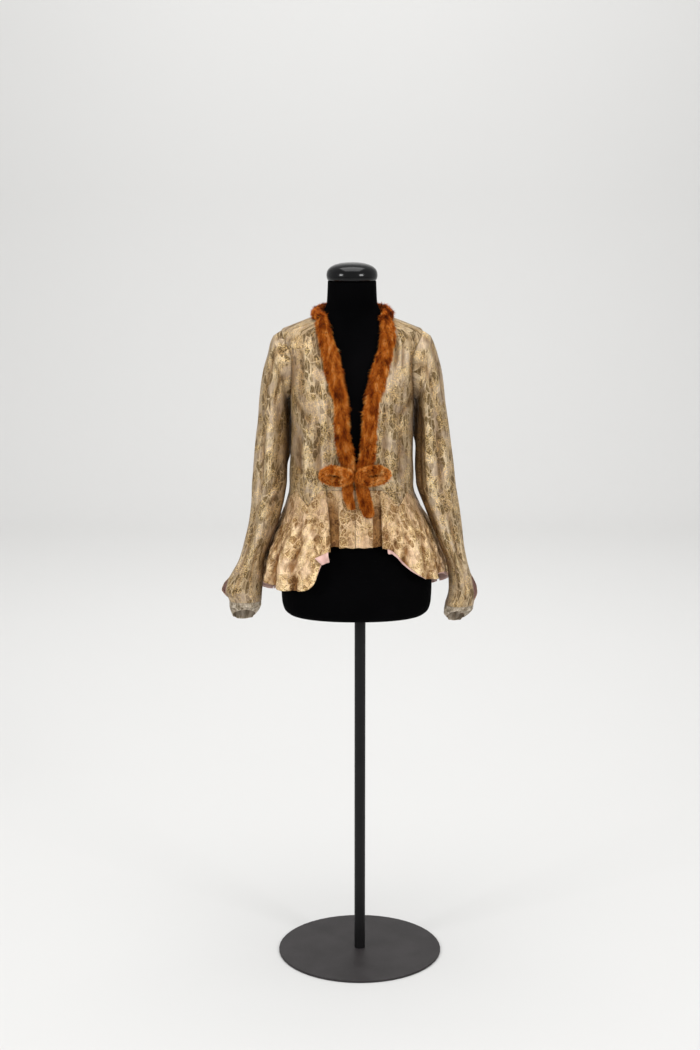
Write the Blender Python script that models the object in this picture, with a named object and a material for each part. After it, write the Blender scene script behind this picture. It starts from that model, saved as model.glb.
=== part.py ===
"""Evening jacket of gold lame with a fur collar and a bow, on a dress form that stands on a round foot.

Metres, +Z up. The jacket's front faces -Y and its left side in the front view is at -X.
The origin is the centre of the foot's underside, on the pole's axis.
"""
import math

import bpy
import numpy as np

LEFT, RIGHT = -1, 1

# Stand
FOOT_RADIUS = 0.185
FOOT_THICKNESS = 0.005
FOOT_EDGE = 0.0012
FOOT_SIDES = 48
ROUND_SIDES = 24
POLE_RADIUS = 0.0122
POLE_TOP = 0.782
SOCKET_RADIUS = 0.024
GAP = 0.0003

# Dress form, one row for each level of its smooth body
FORM_BOTTOM = 0.7915
FORM_SIDES = 32
FORM_COLUMNS = ("height", "half_width", "front", "back", "squareness", "middle_x")
FORM_LEVELS = (
    (0.7915, 0.1300, 0.0800, 0.0900, 2.2, -0.008),
    (0.7960, 0.1490, 0.0980, 0.1080, 2.2, -0.008),
    (0.8070, 0.1600, 0.1080, 0.1180, 2.2, -0.008),
    (0.8250, 0.1645, 0.1130, 0.1230, 2.2, -0.008),
    (0.8600, 0.1660, 0.1150, 0.1250, 2.2, -0.008),
    (0.9200, 0.1610, 0.1120, 0.1210, 2.2, -0.010),
    (0.9800, 0.1480, 0.1040, 0.1090, 2.2, -0.012),
    (1.0400, 0.1300, 0.0950, 0.0950, 2.2, -0.015),
    (1.0900, 0.1190, 0.0910, 0.0860, 2.2, -0.018),
    (1.1400, 0.1195, 0.0980, 0.0850, 2.2, -0.018),
    (1.1900, 0.1240, 0.1080, 0.0870, 2.2, -0.018),
    (1.2350, 0.1285, 0.1150, 0.0900, 2.2, -0.018),
    (1.2800, 0.1310, 0.1090, 0.0930, 2.3, -0.018),
    (1.3200, 0.1355, 0.0950, 0.0940, 2.4, -0.018),
    (1.3600, 0.1430, 0.0790, 0.0890, 2.5, -0.018),
    (1.3900, 0.1490, 0.0680, 0.0810, 2.5, -0.018),
    (1.4080, 0.1500, 0.0620, 0.0750, 2.4, -0.018),
    (1.4180, 0.1460, 0.0590, 0.0710, 2.3, -0.018),
    (1.4250, 0.1360, 0.0570, 0.0680, 2.2, -0.018),
    (1.4320, 0.1200, 0.0555, 0.0650, 2.1, -0.018),
    (1.4400, 0.1000, 0.0540, 0.0615, 2.0, -0.018),
    (1.4480, 0.0800, 0.0530, 0.0580, 2.0, -0.018),
    (1.4560, 0.0665, 0.0525, 0.0555, 2.0, -0.018),
    (1.4660, 0.0585, 0.0520, 0.0540, 2.0, -0.018),
    (1.4800, 0.0542, 0.0520, 0.0528, 2.0, -0.018),
    (1.5245, 0.0520, 0.0520, 0.0520, 2.0, -0.018),
)
CAP_MIDDLE = (-0.018, 0.0, 1.525)
CAP_COLUMNS = ("radius", "height")
CAP_PROFILE = (
    (0.0480, 0.0003),
    (0.0530, 0.0040),
    (0.0548, 0.0120),
    (0.0535, 0.0200),
    (0.0470, 0.0290),
    (0.0320, 0.0365),
    (0.0150, 0.0395),
)

# Cloth
WALL = 0.0012
SEAM = 0.0003
SHOULDER_LOW = 1.30
SHOULDER_HIGH = 1.37

# Room between the dress form and the cloth's inner side
EASE_COLUMNS = ("height", "front", "left", "right", "back")
EASE_LEVELS = (
    (0.800, 0.0300, 0.0410, 0.0330, 0.0520),
    (0.860, 0.0270, 0.0375, 0.0290, 0.0460),
    (0.910, 0.0250, 0.0350, 0.0250, 0.0400),
    (0.965, 0.0230, 0.0260, 0.0200, 0.0300),
    (1.000, 0.0210, 0.0185, 0.0180, 0.0240),
    (1.040, 0.0180, 0.0160, 0.0130, 0.0200),
    (1.063, 0.0165, 0.0160, 0.0125, 0.0180),
    (1.100, 0.0150, 0.0165, 0.0145, 0.0160),
    (1.150, 0.0110, 0.0130, 0.0115, 0.0130),
    (1.190, 0.0060, 0.0075, 0.0080, 0.0090),
    (1.235, 0.0030, 0.0030, 0.0030, 0.0060),
    (1.280, 0.0030, 0.0025, 0.0025, 0.0040),
    (1.340, 0.0028, 0.0028, 0.0028, 0.0030),
    (1.400, 0.0022, 0.0026, 0.0026, 0.0030),
    (1.440, 0.0014, 0.0013, 0.0013, 0.0016),
    (1.500, 0.0012, 0.0012, 0.0012, 0.0012),
)

# Front edges of the cloth, measured sideways from the body's middle line
EDGE_COLUMNS = ("height", "left_x", "right_x")
FRONT_EDGES = (
    (0.940, -0.0008, 0.0000),
    (1.040, 0.0030, 0.0038),
    (1.090, 0.0060, 0.0068),
    (1.120, 0.0076, 0.0084),
    (1.130, 0.0080, 0.0090),
    (1.150, 0.0050, 0.0125),
    (1.174, 0.0000, 0.0195),
    (1.228, -0.0110, 0.0270),
    (1.282, -0.0145, 0.0310),
    (1.343, -0.0230, 0.0420),
    (1.386, -0.0293, 0.0500),
    (1.428, -0.0480, 0.0640),
    (1.456, -0.0575, 0.0620),
)
NECK_EDGE = 1.456

# Pointed seam between bodice and peplum, by the angle round the body from the middle of the front
WAIST_COLUMNS = ("angle", "left_height", "right_height")
WAIST_SEAM = (
    (0, 1.088, 1.088),
    (29, 1.086, 1.086),
    (33, 1.077, 1.077),
    (42, 1.051, 1.048),
    (52, 1.066, 1.064),
    (59, 1.079, 1.078),
    (66, 1.070, 1.066),
    (90, 1.046, 1.044),
    (112, 1.080, 1.080),
    (135, 1.050, 1.050),
    (158, 1.080, 1.080),
    (180, 1.062, 1.062),
)
WAIST_GAP = 0.0005
WAIST_FRONT = 1.086
STRETCHED_BELOW = 1.12

# Armhole: an oval on the body's side, seen from the side
UNDERARM = 1.274
SHOULDER_TIP = 1.418
ARMHOLE_HALF_DEPTH = 0.047
LOWEST_LEVEL = 1.040
LOWER_LEVELS_END = 1.230
LOWER_LEVELS = 6
UNDERARM_LEVEL = 1.255

# Peplum
SIDE_START_X = {LEFT: -0.0550, RIGHT: 0.0655}
SIDE_END = 112.0
SIDE_GAP_ANGLE = 0.2
PLEAT_COLUMNS = ("left_x", "right_x", "top_depth", "depth")
PLEATS = (
    (0.000, 0.000, 0.000, 0.000),
    (-0.014, 0.018, 0.000, 0.000),
    (-0.0280, 0.0365, 0.000, 0.000),
    (-0.0310, 0.0390, 0.000, 0.010),
    (-0.0390, 0.0430, 0.001, 0.011),
    (-0.0470, 0.0530, 0.002, 0.011),
    (-0.0540, 0.0650, 0.003, 0.011),
    (-0.0600, 0.0710, 0.003, 0.011),
)
FRONT_HEM = 0.9665
FOLD_RETURN = 0.005
FOLD_RETURN_FULL = 0.4
PLEAT_FROM = 0.05
PLEAT_FULL = 0.6
FOLD_GROWTH = 0.16
BACK_FOLDS_FROM = 150
PEPLUM_FRONT_ROWS = 8
PEPLUM_ROWS = 9
LINING_ROW = 4

HEM_COLUMNS = ("angle", "left_height", "right_height", "left_lining", "right_lining")
HEMS = (
    (20, 0.957, 0.963, 0.955, 0.960),
    (23, 0.948, 0.963, 0.938, 0.957),
    (25, 0.926, 0.962, 0.922, 0.952),
    (27, 0.900, 0.959, 0.901, 0.948),
    (29, 0.886, 0.954, 0.888, 0.942),
    (32, 0.877, 0.944, 0.879, 0.936),
    (35, 0.873, 0.934, 0.875, 0.925),
    (40, 0.870, 0.916, 0.872, 0.911),
    (46, 0.868, 0.900, 0.870, 0.899),
    (54, 0.868, 0.889, 0.871, 0.889),
    (64, 0.870, 0.887, 0.872, 0.887),
    (76, 0.873, 0.894, 0.871, 0.892),
    (90, 0.866, 0.890, 0.861, 0.884),
    (112, 0.840, 0.858, 0.835, 0.853),
    (140, 0.822, 0.826, 0.818, 0.822),
    (180, 0.812, 0.812, 0.808, 0.808),
)

# Folds of the peplum: each a soft ridge (+) or trough (-) that grows towards the hem
FOLD_COLUMNS = ("angle", "width", "rise", "top")
FOLDS_LEFT = (
    (34, 6, 0.006, 1.03),
    (44, 4, -0.006, 0.99),
    (54, 7, 0.009, 1.05),
    (64, 4, -0.009, 1.02),
    (74, 5, 0.006, 1.03),
    (84, 5, -0.009, 1.00),
    (97, 8, 0.007, 1.05),
    (112, 7, -0.010, 1.02),
    (124, 8, 0.012, 1.06),
    (140, 7, -0.012, 1.04),
    (155, 8, 0.012, 1.06),
    (170, 6, -0.010, 1.04),
    (180, 4, 0.004, 1.04),
)
FOLDS_RIGHT = (
    (36, 4, -0.008, 1.00),
    (46, 6, 0.010, 1.05),
    (55, 3.5, -0.009, 0.99),
    (63, 5, 0.007, 1.02),
    (72, 4, -0.009, 1.00),
    (82, 6, 0.008, 1.05),
    (95, 6, -0.009, 1.00),
    (105, 5, 0.008, 1.05),
    (118, 7, -0.011, 1.03),
    (133, 8, 0.012, 1.06),
    (149, 7, -0.012, 1.04),
    (165, 8, 0.011, 1.06),
)

# Sleeves: one row for each ring, with its outer and inner point in the front view
SLEEVE_COLUMNS = ("outer_x", "outer_z", "inner_x", "inner_z", "half_depth", "middle_y", "slit")
SLEEVE_LEFT = (
    (0.1690, 1.4080, 0.1412, 1.2700, 0.0500, 0.000, 0.000),
    (0.1760, 1.3930, 0.1416, 1.2670, 0.0520, 0.000, 0.000),
    (0.1825, 1.3660, 0.1420, 1.2630, 0.0530, 0.000, 0.000),
    (0.1905, 1.3400, 0.1420, 1.2570, 0.0530, 0.000, 0.000),
    (0.1956, 1.3140, 0.1415, 1.2490, 0.0520, -0.001, 0.000),
    (0.2010, 1.2710, 0.1410, 1.2330, 0.0510, -0.002, 0.000),
    (0.2044, 1.2270, 0.1405, 1.2070, 0.0500, -0.003, 0.000),
    (0.2100, 1.1830, 0.1410, 1.1740, 0.0490, -0.004, 0.000),
    (0.2139, 1.1400, 0.1420, 1.1360, 0.0480, -0.005, 0.000),
    (0.2176, 1.0960, 0.1440, 1.0940, 0.0470, -0.007, 0.000),
    (0.2220, 1.0510, 0.1530, 1.0530, 0.0460, -0.009, 0.000),
    (0.2298, 1.0070, 0.1650, 1.0110, 0.0440, -0.012, 0.000),
    (0.2420, 0.9620, 0.1815, 0.9680, 0.0420, -0.015, 0.000),
    (0.2562, 0.9180, 0.2000, 0.9200, 0.0390, -0.018, 0.000),
    (0.2690, 0.8960, 0.2030, 0.8980, 0.0375, -0.020, 0.000),
    (0.2790, 0.8800, 0.2045, 0.8820, 0.0365, -0.021, 0.000),
    (0.2870, 0.8650, 0.2058, 0.8660, 0.0355, -0.022, 0.006),
    (0.2905, 0.8500, 0.2070, 0.8500, 0.0345, -0.023, 0.009),
    (0.2865, 0.8410, 0.2078, 0.8400, 0.0340, -0.024, 0.007),
    (0.2815, 0.8330, 0.2086, 0.8330, 0.0337, -0.025, 0.000),
    (0.2800, 0.8290, 0.2090, 0.8290, 0.0335, -0.025, 0.000),
)
CUFF_LEFT = (
    (0.2797, 0.8285, 0.2092, 0.8285, 0.0333, -0.025, 0.000),
    (0.2795, 0.8150, 0.2110, 0.8150, 0.0325, -0.026, 0.000),
    (0.2780, 0.8010, 0.2155, 0.8020, 0.0315, -0.027, 0.000),
    (0.2730, 0.7860, 0.2230, 0.7900, 0.0300, -0.028, 0.000),
)
SLEEVE_RIGHT = (
    (0.1690, 1.4080, 0.1416, 1.2700, 0.0500, 0.000, 0.000),
    (0.1764, 1.3930, 0.1420, 1.2670, 0.0520, 0.000, 0.000),
    (0.1855, 1.3660, 0.1422, 1.2630, 0.0530, 0.000, 0.000),
    (0.1930, 1.3380, 0.1422, 1.2570, 0.0530, 0.000, 0.000),
    (0.1978, 1.3100, 0.1418, 1.2490, 0.0520, 0.001, 0.000),
    (0.2026, 1.2660, 0.1412, 1.2330, 0.0510, 0.001, 0.000),
    (0.2095, 1.2220, 0.1408, 1.2050, 0.0500, 0.001, 0.000),
    (0.2154, 1.1780, 0.1410, 1.1700, 0.0500, 0.000, 0.000),
    (0.2214, 1.1340, 0.1415, 1.1300, 0.0500, -0.002, 0.000),
    (0.2262, 1.0900, 0.1430, 1.0900, 0.0490, -0.004, 0.000),
    (0.2310, 1.0450, 0.1530, 1.0500, 0.0470, -0.007, 0.000),
    (0.2352, 1.0000, 0.1650, 1.0060, 0.0440, -0.010, 0.000),
    (0.2385, 0.9550, 0.1815, 0.9600, 0.0410, -0.013, 0.000),
    (0.2460, 0.9100, 0.1995, 0.9130, 0.0380, -0.016, 0.000),
    (0.2510, 0.8900, 0.2015, 0.8920, 0.0370, -0.018, 0.000),
    (0.2555, 0.8740, 0.2025, 0.8760, 0.0360, -0.019, 0.004),
    (0.2590, 0.8580, 0.2025, 0.8600, 0.0350, -0.020, 0.008),
    (0.2608, 0.8440, 0.2015, 0.8450, 0.0345, -0.021, 0.008),
    (0.2600, 0.8340, 0.1990, 0.8340, 0.0340, -0.022, 0.005),
    (0.2588, 0.8250, 0.1955, 0.8245, 0.0337, -0.023, 0.000),
    (0.2580, 0.8200, 0.1945, 0.8190, 0.0335, -0.023, 0.000),
)
CUFF_RIGHT = (
    (0.2578, 0.8195, 0.1943, 0.8185, 0.0333, -0.023, 0.000),
    (0.2565, 0.8080, 0.1930, 0.8060, 0.0325, -0.024, 0.000),
    (0.2500, 0.7940, 0.1935, 0.7930, 0.0315, -0.025, 0.000),
    (0.2380, 0.7840, 0.1985, 0.7830, 0.0300, -0.026, 0.000),
)

# Long folds down the sleeves: place round the sleeve (0 inner, 90 front, 180 outer), width, rise, top, bottom
SLEEVE_SIDES = 18
SLEEVE_FOLD_FADE = 0.06
SLEEVE_FOLD_COLUMNS = ("angle", "width", "rise", "top", "bottom")
SLEEVE_FOLDS_LEFT = (
    (55, 16, -0.005, 1.30, 0.98),
    (95, 18, 0.004, 1.28, 0.90),
    (128, 14, -0.003, 1.25, 0.95),
    (250, 18, -0.005, 1.28, 0.95),
    (300, 16, 0.004, 1.25, 1.00),
)
SLEEVE_FOLDS_RIGHT = (
    (32, 13, -0.009, 1.30, 0.96),
    (64, 14, 0.006, 1.33, 0.92),
    (105, 16, -0.003, 1.28, 0.95),
    (240, 18, -0.005, 1.28, 0.95),
    (290, 16, 0.004, 1.25, 1.00),
)

# Fur band, from the bow up each front and round the neck, with its inner and outer edge
FUR_COLUMNS = ("height", "left_inner", "left_outer", "right_inner", "right_outer", "outer_drop", "thickness")
FUR_FRONT = (
    (1.1160, 0.0034, -0.0060, 0.0044, 0.0140, 0.000, 0.008),
    (1.1300, 0.0065, -0.0100, 0.0088, 0.0240, 0.000, 0.009),
    (1.1475, 0.0066, -0.0260, 0.0112, 0.0491, 0.000, 0.010),
    (1.1740, 0.0030, -0.0350, 0.0160, 0.0533, 0.000, 0.013),
    (1.2000, -0.0030, -0.0385, 0.0195, 0.0533, 0.000, 0.013),
    (1.2280, -0.0054, -0.0392, 0.0212, 0.0531, 0.000, 0.013),
    (1.2550, -0.0065, -0.0400, 0.0230, 0.0570, 0.000, 0.013),
    (1.2820, -0.0085, -0.0440, 0.0248, 0.0627, 0.000, 0.014),
    (1.3120, -0.0120, -0.0550, 0.0300, 0.0780, 0.000, 0.014),
    (1.3430, -0.0170, -0.0656, 0.0359, 0.0909, 0.000, 0.015),
    (1.3720, -0.0215, -0.0680, 0.0410, 0.0930, 0.000, 0.015),
    (1.4000, -0.0290, -0.0720, 0.0480, 0.0930, 0.001, 0.016),
    (1.4160, -0.0370, -0.0740, 0.0540, 0.0925, 0.003, 0.016),
    (1.4300, -0.0440, -0.0760, 0.0570, 0.0905, 0.005, 0.017),
    (1.4400, -0.0480, -0.0770, 0.0580, 0.0880, 0.006, 0.017),
    (1.4490, -0.0520, -0.0770, 0.0580, 0.0830, 0.009, 0.018),
)
FUR_NECK_COLUMNS = ("inner_angle", "inner_height", "outer_angle", "outer_height", "thickness")
FUR_NECK = (
    (66, 1.461, 76, 1.4440, 0.018),
    (84, 1.470, 92, 1.4460, 0.018),
    (104, 1.476, 108, 1.4465, 0.018),
    (128, 1.480, 129, 1.4465, 0.017),
    (154, 1.483, 154, 1.4460, 0.017),
    (180, 1.485, 180, 1.4460, 0.017),
)
COLLAR_BASE = 0.0013
TAIL_BASE = 0.0004
FUR_STATIONS = 50
METRES_A_DEGREE = 0.0015
FUR_TOP_PARTS = (0.0, 0.14, 0.5, 0.86, 1.0)
FUR_TOP_RISE = (0.25, 0.8, 1.0, 0.8, 0.25)
FUR_UNDER_PARTS = (1.0, 0.67, 0.33, 0.0)
TAIL_STATIONS = 8

# Fur bow, in the front view: the loops are flat rings and the ends hang from the middle
LOOP_COLUMNS = ("middle_x", "middle_z", "half_width", "half_height", "tube")
LOOPS = {
    "fur_loop_left": (-0.0324, 1.1210, 0.0257, 0.0142, 0.0098),
    "fur_loop_right": (0.0416, 1.1210, 0.0268, 0.0142, 0.0098),
}
BOW_MIDDLE = 0.0037
LOOP_LIFT = 0.0120
LOOP_LIFT_FROM = 0.018
LOOP_LIFT_TO = 0.050
LOOP_TURNS = 20
LOOP_SIDES = 8
TAIL_COLUMNS = ("height", "inner_x", "outer_x", "thickness")
TAILS = {
    "fur_tail_left": (
        (1.112, 0.0032, -0.0100, 0.008),
        (1.096, 0.0030, -0.0205, 0.010),
        (1.078, 0.0035, -0.0190, 0.011),
        (1.060, 0.0030, -0.0130, 0.010),
        (1.047, 0.0020, -0.0080, 0.006),
    ),
    "fur_tail_right": (
        (1.112, 0.0046, 0.0200, 0.008),
        (1.096, 0.0048, 0.0345, 0.009),
        (1.078, 0.0055, 0.0410, 0.011),
        (1.060, 0.0085, 0.0430, 0.012),
        (1.042, 0.0160, 0.0440, 0.010),
        (1.029, 0.0215, 0.0415, 0.006),
    ),
}


def read_table(at, table):
    """Every column of a table at the given places of its first one, on a smooth curve with no overshoot."""
    rows = np.array(table, float)
    knots = rows[:, 0]
    values = rows[:, 1:]
    run = np.diff(knots)
    slope = np.diff(values, axis=0) / run[:, None]
    product = slope[1:] * slope[:-1]
    total = slope[1:] + slope[:-1]
    agree = product > 0
    inner = np.where(agree, 2 * product / np.where(agree, total, 1), 0)
    tangent = np.vstack([slope[:1], inner, slope[-1:]])
    at = np.clip(np.asarray(at, float), knots[0], knots[-1])
    row = np.clip(np.searchsorted(knots, at) - 1, 0, len(run) - 1)
    length = run[row][..., None]
    t = (at - knots[row])[..., None] / length
    return (
        values[row] * (1 + 2 * t) * (1 - t) ** 2
        + values[row + 1] * t * t * (3 - 2 * t)
        + tangent[row] * length * t * (1 - t) ** 2
        + tangent[row + 1] * length * t * t * (t - 1)
    )


def ramp(value, start, end):
    """Smooth rise from 0 at start to 1 at end."""
    t = np.clip((value - start) / (end - start), 0, 1)
    return t * t * (3 - 2 * t)


def body_level(x, y, z):
    """How far a point is outside the dress form's section at its height: 0 on the surface."""
    half_width, front, back, power, middle = np.moveaxis(read_table(z, FORM_LEVELS), -1, 0)
    depth = np.where(y < 0, front, back)
    return np.abs((x - middle) / half_width) ** power + np.abs(y / depth) ** power - 1


def body_surface(angle, z, out=0.0):
    """A point of the dress form's skin, moved out along its normal.

    The angle goes round from the middle of the front (0) to the side (90, -X for negative angles) and the back.
    Below the shoulders the normal is taken level, so that cloth hangs straight down.
    """
    angle = np.radians(angle) + 0 * z
    z = z + 0 * angle
    half_width, front, back, power, middle = np.moveaxis(read_table(z, FORM_LEVELS), -1, 0)
    side = np.sin(angle)
    ahead = np.cos(angle)
    reach = (np.abs(side) ** power + np.abs(ahead) ** power) ** (-1 / power)
    x = middle + half_width * side * reach
    y = -np.where(ahead > 0, front, back) * ahead * reach
    step = 1e-4
    normal = np.stack([
        body_level(x + step, y, z) - body_level(x - step, y, z),
        body_level(x, y + step, z) - body_level(x, y - step, z),
        (body_level(x, y, z + step) - body_level(x, y, z - step)) * ramp(z, SHOULDER_LOW, SHOULDER_HIGH),
    ], axis=-1)
    normal /= np.linalg.norm(normal, axis=-1, keepdims=True)
    return np.stack([x, y, z], axis=-1) + normal * np.asarray(out + 0 * z)[..., None]


def form_angle(x, z):
    """The angle of the point of the dress form's front that lies at x from its middle line."""
    half_width, front, back, power, middle = np.moveaxis(read_table(z, FORM_LEVELS), -1, 0)
    across = np.clip(np.abs(x) / half_width, 0, 1)
    ahead = (1 - across ** power) ** (1 / power)
    return np.degrees(np.arctan2(across, ahead)) * np.sign(x)


def angle_at(x, z):
    """The angle of the point of the cloth's front that lies at x from the middle line."""
    aim = x + 0 * z
    middle = read_table(z, FORM_LEVELS)[..., 4]
    for _ in range(8):
        angle = form_angle(aim, z)
        aim = aim + x - (cloth(angle, z)[..., 0] - middle)
    return form_angle(aim, z)


def ease(angle, z):
    """Room between the dress form and the cloth."""
    front, left, right, back = np.moveaxis(read_table(z, EASE_LEVELS), -1, 0)
    side = np.sin(np.radians(angle))
    ahead = np.cos(np.radians(angle))
    return side ** 2 * np.where(side < 0, left, right) + ahead ** 2 * np.where(ahead > 0, front, back)


def cloth(angle, z, out=0.0):
    """A point of the jacket's outer side, moved out by the given amount."""
    return body_surface(angle, z, ease(angle, z) + WALL + out)


def on_front(x, z, out):
    """A point over the jacket's front, at x from the middle line and out from the cloth."""
    return cloth(angle_at(x, z), z, out)


def waist(angle):
    """Height of the seam between bodice and peplum."""
    knots, left, right = np.array(WAIST_SEAM, float).T
    return np.where(angle < 0, np.interp(-angle, knots, left), np.interp(angle, knots, right))


def hem(angle, lining=False):
    """Height of the hem of the peplum's sides and back, or of its lining."""
    heights = read_table(np.abs(angle), HEMS)
    left, right = (2, 3) if lining else (0, 1)
    return np.where(angle < 0, heights[..., left], heights[..., right])


def folds(angle, z):
    """How far the peplum's folds stand out of its smooth flare."""
    total = 0 * angle + 0 * z
    for side, table in ((LEFT, FOLDS_LEFT), (RIGHT, FOLDS_RIGHT)):
        for middle, width, rise, top in table:
            shape = np.exp(-((angle - side * middle) / width) ** 2)
            if middle > BACK_FOLDS_FROM:
                shape = shape + np.exp(-((angle - side * (middle - 360)) / width) ** 2)
            total = total + rise * shape * ramp(top - z, 0, FOLD_GROWTH)
    return total


def armhole_angle(z, depth_column):
    """The angle of the armhole's edge at a height, 90 at its lowest and highest point.

    The column picks the front half of the body (1) or its back half (2).
    """
    middle = (UNDERARM + SHOULDER_TIP) / 2
    half = (SHOULDER_TIP - UNDERARM) / 2
    y = ARMHOLE_HALF_DEPTH * np.sqrt(np.clip(1 - ((z - middle) / half) ** 2, 0, 1))
    level = read_table(z, FORM_LEVELS)
    part = y / level[..., depth_column]
    power = level[..., 3]
    turn = np.degrees(np.arctan2((1 - part ** power) ** (1 / power), part))
    return turn if depth_column == 1 else 180 - turn


def make_material(name, colour, roughness, metallic=0.0):
    """A plain material for one kind of finish."""
    material = bpy.data.materials.get(name)
    if material is None:
        material = bpy.data.materials.new(name)
        material.use_nodes = True
        shader = material.node_tree.nodes["Principled BSDF"]
        shader.inputs["Base Color"].default_value = (*colour, 1)
        shader.inputs["Roughness"].default_value = roughness
        shader.inputs["Metallic"].default_value = metallic
    return material


def new_object(name, points, faces, material):
    """A mesh object, shaded smooth up to sharp edges."""
    mesh = bpy.data.meshes.new(name)
    mesh.from_pydata([tuple(point) for point in points], [], faces)
    mesh.update()
    mesh.shade_smooth()
    mesh.set_sharp_from_angle(angle=math.radians(40))
    mesh.materials.append(material)
    thing = bpy.data.objects.new(name, mesh)
    bpy.context.scene.collection.objects.link(thing)
    return thing


def grid_faces(rows, columns, closed):
    """Quads of a grid of points, row by row, with its last column joined to the first if it is closed."""
    faces = []
    for row in range(rows - 1):
        for column in range(columns if closed else columns - 1):
            right = (column + 1) % columns
            low = row * columns
            high = low + columns
            faces.append((low + column, low + right, high + right, high + column))
    return faces


def volume(points, faces):
    """Six times the signed volume that faces enclose: positive where they point outwards."""
    total = 0.0
    for face in faces:
        first = points[face[0]]
        for second, third in zip(face[1:-1], face[2:]):
            total += np.dot(first, np.cross(points[second], points[third]))
    return total


def solid(name, grid, material, ring=False):
    """A closed solid from rings of points: capped at both ends, or joined to itself as a ring."""
    rows, columns = grid.shape[:2]
    points = grid.reshape(-1, 3)
    faces = grid_faces(rows, columns, True)
    low = (rows - 1) * columns
    if ring:
        for column in range(columns):
            right = (column + 1) % columns
            faces.append((low + column, low + right, right, column))
    else:
        faces.append(tuple(range(columns - 1, -1, -1)))
        faces.append(tuple(range(low, low + columns)))
    if volume(points, faces) < 0:
        faces = [face[::-1] for face in faces]
    return new_object(name, points, faces, material)


def cell_normals(grid, inside):
    """Unit normals of a grid of points, pointing away from the points inside."""
    normal = np.cross(np.gradient(grid, axis=1), np.gradient(grid, axis=0))
    normal /= np.linalg.norm(normal, axis=-1, keepdims=True) + 1e-12
    return normal * np.sign(np.sum(normal * (grid - inside)))


def body_axis(grid):
    """The body's upright axis at the height of each point."""
    return grid * np.array([0, 0, 1]) + np.array([FORM_LEVELS[-1][-1], 0, 0])


def sheet(name, grid, material, inside):
    """A cloth wall from points of its outer side, joined where they meet, with its thickness towards the inside."""
    rows, columns = grid.shape[:2]
    points = grid.reshape(-1, 3)
    first, place = np.unique(np.round(points, 6), axis=0, return_index=True, return_inverse=True)[1:]
    order = np.argsort(first)
    rank = np.empty_like(order)
    rank[order] = np.arange(len(order))
    place = rank[place.reshape(-1)]
    raw = np.cross(np.gradient(grid, axis=1), np.gradient(grid, axis=0))
    outward = np.sum(raw * (grid - inside)) > 0
    faces = []
    for face in grid_faces(rows, columns, False):
        corners = []
        for corner in face:
            if place[corner] not in corners:
                corners.append(int(place[corner]))
        if len(corners) > 2:
            faces.append(tuple(corners if outward else corners[::-1]))
    thing = new_object(name, points[first[order]], faces, material)
    wall = thing.modifiers.new("Wall", "SOLIDIFY")
    wall.thickness = WALL
    wall.offset = -1
    return thing


def turned(name, profile, middle, sides, material):
    """A round solid from pairs of radius and height, bottom to top."""
    turn = np.linspace(0, 2 * math.pi, sides, endpoint=False)
    radius = np.array([row[0] for row in profile])[:, None]
    height = np.array([row[1] for row in profile])[:, None] + 0 * turn
    grid = np.stack([radius * np.cos(turn), radius * np.sin(turn), height], axis=-1)
    return solid(name, grid + np.array(middle), material)


def make_stand():
    """The round steel foot, the pole and the socket under the dress form."""
    steel = make_material("stand_black", (0.055, 0.05, 0.05), 0.55, 0.3)
    foot = (
        (FOOT_RADIUS - FOOT_EDGE, 0),
        (FOOT_RADIUS, FOOT_EDGE),
        (FOOT_RADIUS, FOOT_THICKNESS - FOOT_EDGE),
        (FOOT_RADIUS - FOOT_EDGE, FOOT_THICKNESS),
    )
    turned("stand_base", foot, (0, 0, 0), FOOT_SIDES, steel)
    pole = ((POLE_RADIUS, FOOT_THICKNESS + GAP), (POLE_RADIUS, POLE_TOP))
    turned("stand_pole", pole, (0, 0, 0), ROUND_SIDES, steel)
    socket_low = POLE_TOP + GAP
    socket_high = FORM_BOTTOM - GAP
    socket = (
        (SOCKET_RADIUS - FOOT_EDGE, socket_low),
        (SOCKET_RADIUS, socket_low + FOOT_EDGE),
        (SOCKET_RADIUS, socket_high),
    )
    turned("stand_socket", socket, (0, 0, 0), ROUND_SIDES, steel)


def make_form():
    """The dress form's smooth body and neck, and the turned cap on the neck."""
    jersey = make_material("form_jersey", (0.012, 0.012, 0.014), 0.9)
    gloss = make_material("cap_gloss", (0.008, 0.008, 0.009), 0.12)
    turn = np.linspace(0, 360, FORM_SIDES, endpoint=False)
    heights = np.array([row[0] for row in FORM_LEVELS])
    grid = body_surface(turn[None, :], heights[:, None])
    solid("form_torso", grid, jersey)
    turned("form_cap", CAP_PROFILE, CAP_MIDDLE, ROUND_SIDES, gloss)


def sleeve_turns():
    """Places round a sleeve, from its outer point by the front, the inner point and the back to the outer point."""
    steps = np.arange(SLEEVE_SIDES + 1)
    turn = math.pi * (1 - 2 * steps / SLEEVE_SIDES) % (2 * math.pi)
    turn[-1] = math.pi
    return steps < SLEEVE_SIDES / 2, turn


def armhole_height(turn):
    """Height of the armhole's edge at a place round it: 0 at the underarm, half a turn at the shoulder."""
    return (UNDERARM + SHOULDER_TIP) / 2 - (SHOULDER_TIP - UNDERARM) / 2 * np.cos(turn)


def bodice_levels():
    """Levels of the bodice's rows; at the armhole they are those of the sleeve's points."""
    lower = np.linspace(LOWEST_LEVEL, LOWER_LEVELS_END, LOWER_LEVELS)
    armhole = armhole_height(np.linspace(0, math.pi, SLEEVE_SIDES // 2 + 1))
    shoulder = np.array([row[0] for row in FORM_LEVELS if SHOULDER_TIP < row[0] <= NECK_EDGE])
    return np.concatenate([lower, [UNDERARM_LEVEL], armhole, shoulder])[:, None]


def with_middles(knots):
    """The given places and the ones halfway between them."""
    knots = np.asarray(knots, float)
    return np.sort(np.concatenate([knots, (knots[1:] + knots[:-1]) / 2]))


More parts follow.
